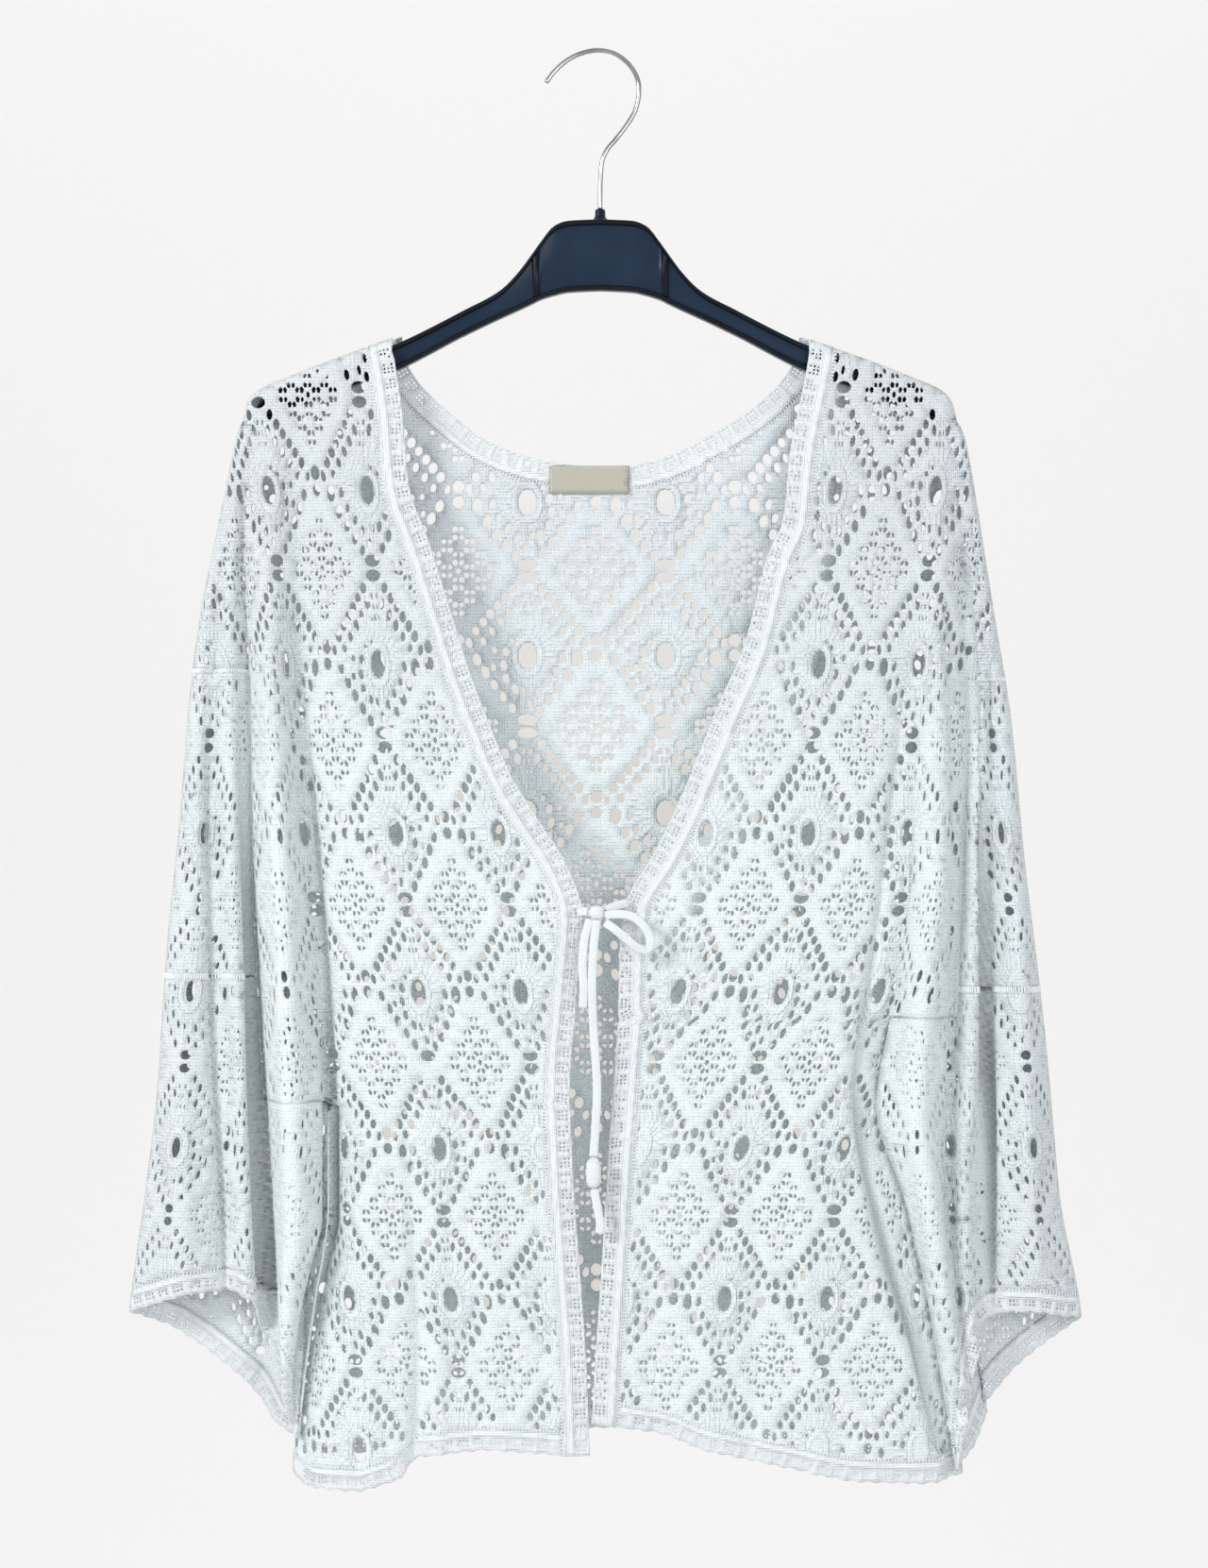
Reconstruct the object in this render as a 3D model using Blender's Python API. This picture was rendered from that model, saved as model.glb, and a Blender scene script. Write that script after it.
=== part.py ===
"""Open-front macrame cardigan with wide sleeves, hung on a plastic clothes hanger.

Sizes in the tables are millimetres. +Z is up, the front faces -Y, and the origin is
the inside top of the hook, where a rail or a wall hook carries it.
"""

import math

import bpy
import numpy as np
from mathutils import Vector
from mathutils.geometry import delaunay_2d_cdt

MM = 0.001

# Driving sizes
CLOTH = 1.6
BAND_CLOTH = 2.4
SEAM_GAP = 0.3
FRONT_BAND = 16.0
NECK_BAND = 14.0
HEM_BAND = 14.0
CUFF_BAND = 14.0
ARM_WRAP = 8.6
SIDE_SEAM_SHIFT = 0.8
HANGER_CENTRE = 2.3
HANGER_DEPTH = 10.0
HANGER_WEB = 4.0
HANGER_RIM = 3.0
HOOK_WIRE = 3.0
TIE_DEPTH = 4.0
LABEL = 1.0
LABEL_PLACE = (-29, 20, -251.5, -268.5)
WRAP_DEPTHS = (0.05, 1.5, 4.0, 9.0)

# The lace repeats in diamonds, one oval and one stacked pair of eyes in each
BACK_REPEAT = 85.0
FRONT_REPEAT = 62.0
OVAL_ROWS = (-162, -268, -374, -477, -573, -668, -759, -850)
BACK_OVAL_ROWS = (-177, -274, -368, -465, -562, -659, -756, -853)
FRONT_OVAL = (2.8, 7.2)
BACK_OVAL = (4.6, 7.0)
FRONT_EYE = (3.6, 2.5)
BACK_EYE = (5.6, 2.8)
EYE_APART = 8.0
EYE_RISE = 4.5
CLEAR_OF_EDGE = 3.0

# How the cloth is divided: points between two folds, and the height of a row
STEPS = 8
ROW = 32.0
HALF_GAP = SEAM_GAP / 2
# How much of a crease each fold keeps, and the places of three of them in the list
FOLD_CREASE = (0.0, 0.0, 0.15, 0.0, 0.7, 0.0, 0.6)
ARMHOLE = 4
ROLL = 5
INNER = 6
BACK_RIDGE = 15.0
DROP_POINT = 3.0
UNDERARM_RISE = 3.2
CUFF_CORNER = 2.4
CUFF_SEAM = 3.2 * SEAM_GAP
TOP = -172
BOTTOM = -884

# Fold lines of the front, from the outer edge of the sleeve to the body.
# z, x of the edge, valley, armhole groove and body groove, then y of the first
# ridge, valley, second ridge, armhole groove, roll and body groove
LEFT_FOLDS = (
    (-178, -214, -211, -206, -186, -8, -8, -8, -8.5, -8.5, -8.5),
    (-213, -215, -212, -207, -186, -8, -8, -8.5, -8.5, -9, -9),
    (-240, -221, -217, -211, -185, -8.5, -8, -9.5, -8, -12, -9),
    (-290, -231, -224, -216, -183, -9, -8, -11, -5, -17, -8),
    (-350, -243, -231, -214, -182, -11, -8, -14, -4, -22, -8),
    (-400, -249, -232, -212, -181, -13, -8, -16, -3, -25, -7),
    (-494, -256, -230, -211, -174, -14, -8, -17, -3, -28, -7),
    (-565, -263, -228, -208, -168, -15, -8, -18, -3, -28, -7),
    (-643, -269, -226, -204, -163, -16, -8, -19, -4, -28, -8),
    (-700, -276, -226, -201, -163, -17, -8, -19, -5, -29, -12),
    (-767, -285, -224, -200, -172, -15, -8, -17, -8, -25, -13),
    (-803, -288, -227, -205, -177, -12, -8, -14, -10, -20, -12),
    (-850, -290, -231, -208, -182, -10, -8, -12, -10, -16, -12),
)
RIGHT_FOLDS = (
    (-178, 218, 215, 210, 190, -8, -8, -8, -8.5, -8.5, -8.5),
    (-213, 219, 216, 212, 191, -8, -8, -8.5, -8.5, -9, -9),
    (-240, 226, 222, 216, 191, -8.5, -8, -9.5, -8, -12, -10),
    (-300, 236, 230, 223, 191, -9, -8, -11, -7, -17, -12),
    (-350, 244, 236, 224, 190, -11, -9, -13, -7, -20, -14),
    (-406, 253, 240, 226, 190, -13, -8, -16, -6, -23, -14),
    (-494, 261, 241, 223, 192, -16, -7, -18, -6, -26, -13),
    (-548, 268, 241, 221, 186, -17, -7, -18, -6, -27, -11),
    (-601, 274, 239, 219, 177, -18, -7, -18, -6, -28, -8),
    (-644, 278, 236, 217, 171, -19, -7, -18, -7, -28, -11),
    (-700, 283, 233, 215, 188, -19, -8, -18, -8, -26, -13),
    (-772, 296, 235, 221, 204, -16, -9, -16, -11, -20, -13),
    (-820, 299, 243, 229, 212, -12, -9, -14, -11, -17, -12),
    (-868, 301, 248, 235, 220, -10, -9, -12, -10, -15, -12),
)
# z, x of the line that lace is measured from, x of the side seam, y of the front
# near the side and at the middle, y of the back near the side and at the middle
LEFT_BODY = (
    (-178, -186, -186, -9, -9, 9, 9),
    (-240, -185, -185, -12, -11, 12, 11),
    (-290, -183, -183, -15, -13, 14, 13),
    (-350, -182, -182, -18, -15, 16, 15),
    (-494, -174, -174, -22, -20, 19, 17),
    (-643, -159, -159.5, -23, -21, 19, 18),
    (-662, -159, -160.5, -23, -21, 19, 18),
    (-684, -159, -164.5, -23, -22, 18, 18),
    (-720, -159, -166, -23, -22, 18, 18),
    (-767, -160, -173.5, -22, -23, 17, 18),
    (-803, -161, -180.5, -21, -23, 16, 18),
    (-850, -162, -185, -20, -24, 16, 18),
    (-880, -162, -185.5, -20, -24, 16, 18),
)
RIGHT_BODY = (
    (-178, 190, 190, -9, -9, 9, 9),
    (-240, 191, 191, -12, -11, 12, 11),
    (-300, 191, 191, -16, -13, 15, 13),
    (-406, 190, 190, -20, -17, 18, 16),
    (-494, 192, 192, -22, -20, 19, 17),
    (-592, 173, 174.5, -23, -21, 19, 18),
    (-612, 170, 171.5, -23, -21, 19, 18),
    (-644, 167, 173, -23, -22, 18, 18),
    (-700, 167, 190, -22, -22, 17, 18),
    (-772, 168, 208, -21, -23, 16, 18),
    (-820, 169, 216.5, -20, -23, 15, 18),
    (-868, 170, 223.5, -19, -24, 14, 18),
    (-880, 170, 224, -19, -24, 14, 18),
)
SIDE_RIDGE_INWARD = 32.0

# x, z of the shoulder line, from the neck out to the tip and down
LEFT_SHOULDER = (
    (-120, -173), (-129, -176), (-162, -188), (-190, -199), (-206, -206), (-213, -213), (-216, -226),
)
RIGHT_SHOULDER = (
    (124, -173), (132, -176), (166, -188), (194, -199), (210, -206), (217, -213), (220, -226),
)

# x, z of each front's free edge, from the shoulder to the hem
LEFT_FRONT_EDGE = (
    (-125, -176), (-118, -222), (-114, -265), (-102, -299), (-88, -343), (-76, -381),
    (-63, -415), (-51, -443), (-38, -464), (-16, -500), (-8, -527), (-12, -580),
    (-16, -631), (-14, -683), (-10, -741), (-6, -799), (-4, -853),
)
RIGHT_FRONT_EDGE = (
    (131, -176), (129, -189), (118, -245), (113, -288), (105, -306), (88, -368), (79, -388),
    (66, -419), (56, -444), (36, -487), (18, -519), (14, -546), (13, -587), (10, -632),
    (7, -672), (3, -741), (-1, -799), (-3, -838),
)
BACK_NECK_EDGE = (
    (-123, -176), (-111, -198), (-90, -219), (-64, -238), (-28, -249), (4, -252),
    (21, -252), (43, -246), (69, -233), (96, -216), (113, -200), (129, -176),
)
# x, z of the lower edges
LEFT_HEM = (
    (-185, -866), (-178, -875), (-143, -876), (-118, -868), (-110, -855), (-66, -850), (-17, -854),
    (0, -853),
)
RIGHT_HEM = (
    (-6, -834), (24, -838), (42, -841), (63, -850), (94, -857), (123, -863), (155, -870),
    (205, -872), (223, -868),
)
BACK_HEM = (
    (-185, -858), (-120, -860), (-40, -846), (40, -842), (120, -856), (185, -864), (223, -862),
)

# The lower edge of each sleeve as fraction of the way from the outer edge to the
# underarm, then z, for the front half and for the back half
LEFT_CUFF_FRONT = (
    (0.0, -770), (0.12, -765), (0.3, -757), (0.5, -756), (0.62, -762), (0.8, -800), (1.0, -846),
)
LEFT_CUFF_BACK = ((0.0, -770), (0.22, -780), (0.42, -795), (0.6, -812), (0.8, -838), (1.0, -846))
RIGHT_CUFF_FRONT = (
    (0.0, -773), (0.12, -772), (0.3, -768), (0.5, -768), (0.62, -776), (0.8, -816), (1.0, -865),
)
RIGHT_CUFF_BACK = ((0.0, -773), (0.22, -790), (0.42, -806), (0.6, -826), (0.8, -852), (1.0, -865))

LEFT = {
    "name": "left",
    "sign": -1,
    "folds": LEFT_FOLDS,
    "body": LEFT_BODY,
    "shoulder": LEFT_SHOULDER,
    "front_edge": LEFT_FRONT_EDGE,
    "hem": LEFT_HEM,
    "cuff_front": LEFT_CUFF_FRONT,
    "cuff_back": LEFT_CUFF_BACK,
    "drop_seam": -378,
    "tier_seam": -564,
    "underarm": -643,
    "back_armhole": (-246, -168),
    "first_oval": 45.0,
    "lean": 0.062,
}
RIGHT = {
    "name": "right",
    "sign": 1,
    "folds": RIGHT_FOLDS,
    "body": RIGHT_BODY,
    "shoulder": RIGHT_SHOULDER,
    "front_edge": RIGHT_FRONT_EDGE,
    "hem": RIGHT_HEM,
    "cuff_front": RIGHT_CUFF_FRONT,
    "cuff_back": RIGHT_CUFF_BACK,
    "drop_seam": -383,
    "tier_seam": -572,
    "underarm": -592,
    "back_armhole": (250, 186),
    "first_oval": 46.0,
    "lean": 0.09,
}
SIDES = (LEFT, RIGHT)

# Hanger outline as distance from its middle, z of the top edge and of the bottom edge
HANGER_SECTIONS = (
    (0, -102, -145.4), (20, -103, -146.5), (28, -106, -148.3), (36.5, -116, -151),
    (41.5, -123, -153.5), (50, -134.4, -157.5), (61, -145.4, -162.5), (83, -157.5, -173),
    (125, -178.4, -194.4), (164, -193.4, -208), (192, -204.4, -220), (203, -209.4, -225),
    (207.5, -213, -224), (209.5, -216, -221),
)
RIB_AT = (38.0, 41.0)
# x, z down the hook's wire, from its free tip over the top to the collar
HOOK_ROUTE = (
    (-30.7, -17.9), (-26, -11.5), (-19, -5.2), (-10.5, -0.6), (0.2, 1.7), (11, -0.2), (20, -7),
    (25.2, -16), (25.9, -26), (23.4, -35.8), (18.5, -44), (12, -52.5), (6.6, -59), (3.6, -66),
    (2.6, -75.9), (2.3, -86), (2.3, -95.4),
)
# x, y, z of the tie's stretches
TIE_ROOT_LEFT = ((-11.5, -23.8, -524.5), (-8, -25.6, -524), (-5.1, -27.2, -524.2))
TIE_ROOT_RIGHT = ((19.5, -23.8, -519), (14, -25.6, -520), (9, -27, -521.8), (5.4, -27.8, -523.4))
TIE_LOOP = (
    (5.4, -30.4, -526.4), (12, -32.5, -525.4), (21, -33, -526.5), (28.5, -33.6, -532.5),
    (32.4, -33.8, -540.5), (30.8, -34.2, -546.5), (25, -35.2, -545.6), (17.6, -36, -539.6),
    (10.6, -35.4, -534), (5.2, -33.4, -530.4),
)
TIE_LONG = (
    (0.4, -29.8, -529.2), (-1.6, -31, -545), (-2.6, -31.2, -570), (-1.4, -31, -600),
    (0.4, -30.8, -630), (-0.6, -31, -655), (-1.8, -31, -671.6),
)
TIE_SHORT = (
    (-4, -29.4, -528.6), (-7, -30.4, -540), (-8.4, -30.8, -556), (-7.6, -31, -570), (-8.2, -31, -582),
)
TIE_TAIL = ((-1.4, -31, -691.4), (0.6, -31.2, -702), (2.2, -31, -712), (1.6, -31, -718))


def clear_scene():
    for old in list(bpy.data.objects):
        bpy.data.objects.remove(old, do_unlink=True)


def finish(name, rgb, roughness, metallic=0.0):
    """A plain material with the piece's own colour."""
    made = bpy.data.materials.new(name)
    made.use_nodes = True
    shader = made.node_tree.nodes["Principled BSDF"]
    shader.inputs["Base Color"].default_value = (*rgb, 1.0)
    shader.inputs["Roughness"].default_value = roughness
    shader.inputs["Metallic"].default_value = metallic
    return made


def add_object(name, data, material):
    made = bpy.data.objects.new(name, data)
    data.materials.append(material)
    bpy.context.scene.collection.objects.link(made)
    return made


def read(table, column, z):
    """A column of a table whose first column is z, read smoothly at any height."""
    heights = [-row[0] for row in table]
    values = [row[column] for row in table]
    return smooth(heights, values, -z)


def smooth(at, values, t):
    """Monotone cubic through the values, flat past the ends."""
    at, values = np.asarray(at, float), np.asarray(values, float)
    if t <= at[0]:
        return values[0]
    if t >= at[-1]:
        return values[-1]
    gap, rise = np.diff(at), np.diff(values) / np.diff(at)
    slope = np.zeros(len(at))
    slope[0], slope[-1] = rise[0], rise[-1]
    for i in range(1, len(at) - 1):
        if rise[i - 1] * rise[i] > 0:
            near, far = 2 * gap[i] + gap[i - 1], gap[i] + 2 * gap[i - 1]
            slope[i] = (near + far) / (near / rise[i - 1] + far / rise[i])
    i = int(np.searchsorted(at, t)) - 1
    h, s = gap[i], (t - at[i]) / gap[i]
    return (
        values[i] * (1 + 2 * s) * (1 - s) ** 2
        + values[i + 1] * s * s * (3 - 2 * s)
        + h * slope[i] * s * (1 - s) ** 2
        + h * slope[i + 1] * s * s * (s - 1)
    )


def along(points, x):
    """z of an edge given as (x, z) points, at x."""
    ordered = sorted(points)
    return float(np.interp(x, [p[0] for p in ordered], [p[1] for p in ordered]))


def bend(points, sharp, before, after, steps=8):
    """A smooth section through fold points. A sharp fold keeps its crease."""
    chain = [before, *points, after]
    ease = [0.5 * (1 - s) for s in sharp]
    line = []
    for i in range(len(points) - 1):
        a, b = np.array(points[i], float), np.array(points[i + 1], float)
        leave = ease[i] * (b - np.array(chain[i], float))
        reach = ease[i + 1] * (np.array(chain[i + 3], float) - a)
        for s in np.linspace(0, 1, steps, endpoint=False):
            line.append(
                a * (1 + 2 * s) * (1 - s) ** 2
                + b * s * s * (3 - 2 * s)
                + leave * s * (1 - s) ** 2
                + reach * s * s * (s - 1)
            )
    line.append(np.array(points[-1], float))
    return np.array(line)


class Drape:
    """Hung cloth: a section at each height, read by its length from a fixed line."""

    def __init__(self, section, top, bottom, sides, half, step=3.0):
        self.half = half
        self.turns = [side["underarm"] for side in sides]
        self.heights = np.arange(top, bottom - step, -step)
        self.step = step
        self.shoulders = [side["shoulder"] for side in sides]
        self.rows = [self.measured(*section(z)) for z in self.heights]

    @staticmethod
    def measured(line, start):
        length = np.concatenate([[0], np.cumsum(np.linalg.norm(np.diff(line, axis=0), axis=1))])
        return length - np.interp(start, np.arange(len(line)), length), line[:, 0], line[:, 1]

    def between(self, z):
        place = min(max((self.heights[0] - z) / self.step, 0), len(self.rows) - 1.001)
        return self.rows[int(place)], self.rows[int(place) + 1], place % 1

    def point(self, length, z):
        """(x, y, z) of the cloth at this length along its section."""
        upper, lower, part = self.between(z)
        x, y = (
            (1 - part) * np.interp(length, upper[0], upper[k])
            + part * np.interp(length, lower[0], lower[k])
            for k in (1, 2)
        )
        for shoulder in self.shoulders:
            if x * shoulder[0][0] > 0:
                below = along(shoulder, x) - z
                if below < ARM_WRAP:
                    y *= math.sqrt(max(0.0, 1 - (1 - max(below, 0) / ARM_WRAP) ** 2))
        return x, y, z

    def across(self, length, z, reach=3.0):
        """The direction straight through the cloth, read on one side of the underarm."""
        turn = self.turns[-1] if length > 0 else self.turns[0]
        up = (0, reach) if z > turn else (-reach, 0)
        here = np.array([self.point(length + d, z) for d in (-reach, reach)])
        rise = np.array([self.point(length, z + d) for d in up])
        normal = np.cross(here[1] - here[0], rise[1] - rise[0])
        return normal / max(np.linalg.norm(normal), 1e-9)

    def ends(self, z):
        upper, lower, part = self.between(z)
        return tuple((1 - part) * upper[0][k] + part * lower[0][k] for k in (0, -1))

    def length(self, x, z):
        """How far along its section the cloth passes x."""
        upper, lower, part = self.between(z)
        found = []
        for row in (upper, lower):
            order = 1 if row[1][-1] > row[1][0] else -1
            found.append(np.interp(x, row[1][::order], row[0][::order]))
        return (1 - part) * found[0] + part * found[1]


def fold_points(side, z):
    """Edge, ridge, valley, ridge, armhole groove, roll and body groove at a height."""
    columns = (read(side["folds"], k, z) for k in range(1, 11))
    edge, valley, groove, inner, y1, y2, y3, y4, y5, y6 = columns
    return (
        (edge, 0.0),
        ((edge * 0.55 + valley * 0.45), y1),
        (valley, y2),
        ((valley + groove) / 2, y3),
        (groove, y4),
        ((groove + inner) / 2, y5),
        (inner, y6),
    )


def front_body_section(side):
    """The front from the outer edge, or below the underarm from the side seam."""

    def section(z):
        mark, seam, near, middle = (read(side["body"], k, z) for k in (1, 2, 3, 4))
        toward = -side["sign"]
        inward = [(0.35 * mark, middle), (toward * 12.0, middle)]
        after = (toward * 40.0, middle)
        if z > side["underarm"]:
            folds = fold_points(side, z)
            ridge = (folds[INNER][0] + toward * SIDE_RIDGE_INWARD, near)
            before = (folds[1][0], -folds[1][1])
            crease = (*FOLD_CREASE, 0.0, 0.0, 0.0)
            return bend((*folds, ridge, *inward), crease, before, after, STEPS), INNER * STEPS
        turn = (seam + toward * 9, 0.35 * near)
        ridge = (seam + toward * SIDE_RIDGE_INWARD, near)
        before = (turn[0], -turn[1])
        line = bend(((seam, -SIDE_SEAM_SHIFT), turn, ridge, *inward), (0.0,) * 5, before, after, STEPS)
        start = np.interp(toward * mark, toward * line[:, 0], np.arange(len(line)))
        return line, float(start)

    return section


def sleeve_front_section(side):
    def section(z):
        folds = fold_points(side, z)
        before = (folds[1][0], -folds[1][1])
        after = (folds[ROLL][0], folds[INNER][1] + 10)
        return bend(folds, FOLD_CREASE, before, after, STEPS), 0

    return section


def back_edge_points(side, z):
    """Edge, ridge, valley and ridge of the back half of a sleeve or shoulder."""
    edge, valley, groove = (read(side["folds"], k, z) for k in (1, 2, 3))
    deep = min(1.0, max(0.0, (-215 - z) / 200.0))
    return (
        (edge, 0.0),
        (edge * 0.6 + valley * 0.4, 8 + deep * 6),
        (valley * 0.75 + groove * 0.25, 8 + deep * 3),
        (groove, 9 + deep * (BACK_RIDGE - 7)),
    )


def back_body_section(side):
    """Half of the back, from its outer edge or side seam in to the middle."""

    def section(z):
        mark, seam, near, middle = (read(side["body"], k, z) for k in (1, 2, 5, 6))
        toward = -side["sign"]
        inward = [(0.4 * mark, middle), (0.0, middle)]
        if z > side["underarm"]:
            outer = back_edge_points(side, z)
            pull = min(1.0, max(0.0, (-300 - z) / (-300 - side["underarm"])))
            valley = (mark, (1 - pull) * (near - 2) + pull * 4.0)
            points = (*outer, valley, (mark + toward * 1.4 * SIDE_RIDGE_INWARD, near), *inward)
            before = (outer[1][0], -outer[1][1])
        else:
            turn = (seam + toward * 9, 0.45 * near)
            points = (
                (seam, SIDE_SEAM_SHIFT), turn, (seam + toward * 1.4 * SIDE_RIDGE_INWARD, near), *inward
            )
            before = (turn[0], -turn[1])
        return bend(points, (0.0,) * len(points), before, (toward * 40.0, middle), STEPS)

    return section


def back_section(z):
    """The whole back at one height, from left to right, measured from its middle."""
    left, right = (back_body_section(side)(z) for side in SIDES)
    return np.concatenate([left, right[-2::-1]]), len(left) - 1


def sleeve_back_section(side):
    """The back half of a sleeve: the back's own cloth, and below the underarm a half tube."""

    def section(z):
        if z > side["underarm"]:
            return back_body_section(side)(z), 0
        outer = back_edge_points(side, z)
        folds = fold_points(side, z)
        away = side["sign"]
        inner_x, inner_y = folds[INNER]
        drop = min(1.0, (side["underarm"] - z) / 14.0)
        meet = (inner_x, (1 - drop) * 2.0 + drop * (inner_y + 4 * SEAM_GAP))
        points = (
            *outer[:3],
            (inner_x + away * 26, outer[3][1] - 3),
            (inner_x + away * 9, 3 - 4 * drop),
            meet,
        )
        before = (outer[1][0], -outer[1][1])
        after = (inner_x + away * 9, meet[1] - 14)
        return bend(points, (0.0,) * 6, before, after, STEPS), 0

    return section


def inside(points, polygon):
    """Which of the points lie in the polygon, by counting crossings."""
    points, polygon = np.asarray(points, float), np.asarray(polygon, float)
    after = np.roll(polygon, -1, axis=0)
    found = np.zeros(len(points), bool)
    for (ax, ay), (bx, by) in zip(polygon, after):
        cross = (ay > points[:, 1]) != (by > points[:, 1])
        if ay != by:
            found ^= cross & (points[:, 0] < (bx - ax) * (points[:, 1] - ay) / (by - ay) + ax)
    return found


def distance(points, polygon):
    """The distance of each point from the polygon's edge."""
    points, polygon = np.asarray(points, float), np.asarray(polygon, float)
    after = np.roll(polygon, -1, axis=0)
    best = np.full(len(points), np.inf)
    for a, b in zip(polygon, after):
        d = b - a
        t = np.clip(((points - a) @ d) / max(d @ d, 1e-12), 0, 1)
        best = np.minimum(best, np.linalg.norm(points - a - t[:, None] * d, axis=1))
    return best


def cut_wall(name, drape, outline, holes, inner, thickness, material, close=()):
    """A cloth wall: the outline less its holes, laid on the drape and given its thickness."""
    outline = np.array(outline, float)
    kept = []
    for hole in holes:
        hole = np.array(hole)
        if inside(hole, outline).all() and distance(hole, outline).min() > CLEAR_OF_EDGE:
            kept.append(hole)
    inner = np.array(inner, float).reshape(-1, 2)
    if len(inner):
        inner = inner[inside(inner, outline) & (distance(inner, outline) > 4.0)]
    close = np.array(close, float).reshape(-1, 2)
    if len(close):
        close = close[inside(close, outline) & (distance(close, outline) > 0.8)]
        inner = np.array([p for p in inner if np.linalg.norm(close - p, axis=1).min() > 9.0])
        inner = np.concatenate([inner, close])
    for hole in kept:
        if len(inner):
            inner = inner[~inside(inner, hole) & (distance(inner, hole) > 4.0)]
    points, edges = [], []
    for loop in (outline, *kept):
        first = len(points)
        points += [Vector(p) for p in loop]
        edges += [(first + i, first + (i + 1) % len(loop)) for i in range(len(loop))]
    points += [Vector(p) for p in inner]
    flat, _, faces, *_ = delaunay_2d_cdt(points, edges, [], 0, 1e-5)
    flat = np.array([tuple(p) for p in flat])
    faces = np.array(faces)
    middle = flat[faces].mean(axis=1)
    use = inside(middle, outline)
    for hole in kept:
        use &= ~inside(middle, hole)
    faces = faces[use]
    used, faces = np.unique(faces, return_inverse=True)
    faces = faces.reshape(-1, 3)
    place = np.array([drape.point(*p) for p in flat[used]])
    across = np.array([drape.across(*p) for p in flat[used]])
    outer = np.array([length < 0.5 for length, _ in flat[used]])
    behind = (drape.half > 0) | (outer & (drape.half == 0))
    before = np.full(len(place), drape.half < 0)
    solid_from_sheet(name, place, across, faces, thickness, material, behind, before)
    return len(kept)


def solid_from_sheet(name, place, vertex, faces, thickness, material, low, high):
    """Both faces of a sheet and the rim round every edge of it, as one closed mesh.

    Points marked low stay behind the plane where front and back meet, and high before it.
    """
    corner = place[faces]
    normal = np.cross(corner[:, 1] - corner[:, 0], corner[:, 2] - corner[:, 0])
    size = np.linalg.norm(normal, axis=1, keepdims=True)
    if (normal * vertex[faces[:, 0]]).sum() < 0:
        vertex = -vertex
    lean = np.zeros(len(place))
    count = np.zeros(len(place))
    for k in range(3):
        np.add.at(lean, faces[:, k], (normal / np.maximum(size, 1e-9) * vertex[faces[:, k]]).sum(axis=1))
        np.add.at(count, faces[:, k], 1)
    lean = np.clip(lean / count, 0.8, 1.0)
    shift = vertex * (thickness / 2 / lean)[:, None]
    n = len(place)
    points = np.concatenate([place + shift, place - shift])
    points[:, 1] = np.where(np.tile(low, 2), np.maximum(points[:, 1], SEAM_GAP / 2), points[:, 1])
    points[:, 1] = np.where(np.tile(high, 2), np.minimum(points[:, 1], -SEAM_GAP / 2), points[:, 1])
    points *= MM
    ends = np.concatenate([faces[:, [0, 1]], faces[:, [1, 2]], faces[:, [2, 0]]])
    both = {(a, b) for a, b in ends.tolist()}
    rim = [(a, b) for a, b in ends.tolist() if (b, a) not in both]
    polygons = [tuple(f) for f in faces.tolist()]
    polygons += [(c + n, b + n, a + n) for a, b, c in faces.tolist()]
    for a, b in rim:
        slant = np.linalg.norm(points[b] - points[a + n]) - np.linalg.norm(points[a] - points[b + n])
        if slant < 0:
            polygons += [(b, a, a + n), (b, a + n, b + n)]
        else:
            polygons += [(b, a, b + n), (a, a + n, b + n)]
    mesh = bpy.data.meshes.new(name)
    mesh.from_pydata(points.tolist(), [], polygons)
    mesh.validate()
    add_object(name, mesh, material)


def oval(centre, half, sides):
    """An upright oval of the lace as a polygon."""
    turn = math.pi / sides
    return [
        (
            centre[0] + half[0] * math.cos(turn + 2 * math.pi * i / sides),
            centre[1] + half[1] * math.sin(turn + 2 * math.pi * i / sides),
        )
        for i in range(sides)
    ]


def lace_holes(first, repeat, lean, rows, oval_half, eye_half, span):
    """The widest holes of each repeat: the oval, and the pair of eyes between two ovals."""
    holes = []
    for row, z in enumerate(rows):
        below = rows[row + 1] if row + 1 < len(rows) else z - 95
        for step in range(-8, 9):
            place = first + step * repeat + lean * (rows[1] - z)
            if span[0] < place < span[1]:
                holes.append(oval((place, z), oval_half, 8))
            middle = (z + below) / 2
            place = first + step * repeat + lean * (rows[1] - middle)
            if span[0] < place < span[1]:
                for half in (-0.5, 0.5):
                    holes.append(oval((place, middle + EYE_RISE + half * EYE_APART), eye_half, 6))
    return holes


def levels(top, bottom, step):
    count = max(1, round(abs(top - bottom) / step))
    return [top + (bottom - top) * i / count for i in range(count + 1)]


def mark_length(drape, mark, z):
    """The length at a fold line, or part of the way between two of them."""
    upper, lower, part = drape.between(z)
    above, below = (np.interp(mark * STEPS, np.arange(len(row[0])), row[0]) for row in (upper, lower))
    return float((1 - part) * above + part * below)


def fold_grid(drape, top, bottom, step, marks):
    """Points inside a piece, on the fold lines and halfway between them."""
    return [(mark_length(drape, mark, z), z) for z in levels(top, bottom, step) for mark in marks]


def even_grid(low, high, step, top, bottom, rise):
    return [(c, z) for z in levels(top, bottom, rise) for c in levels(high, low, step)]


def aside(line, shift):
    """A line of (length, z) points moved sideways, to the left of its direction."""
    line = np.array(line, float)
    ahead = np.vstack([line[1:], line[-1:]])
    behind = np.vstack([line[:1], line[:-1]])
    way = ahead - behind
    way /= np.linalg.norm(way, axis=1, keepdims=True)
    return [(c - shift * dz, z + shift * dc) for (c, z), (dc, dz) in zip(line, way)]


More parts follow.
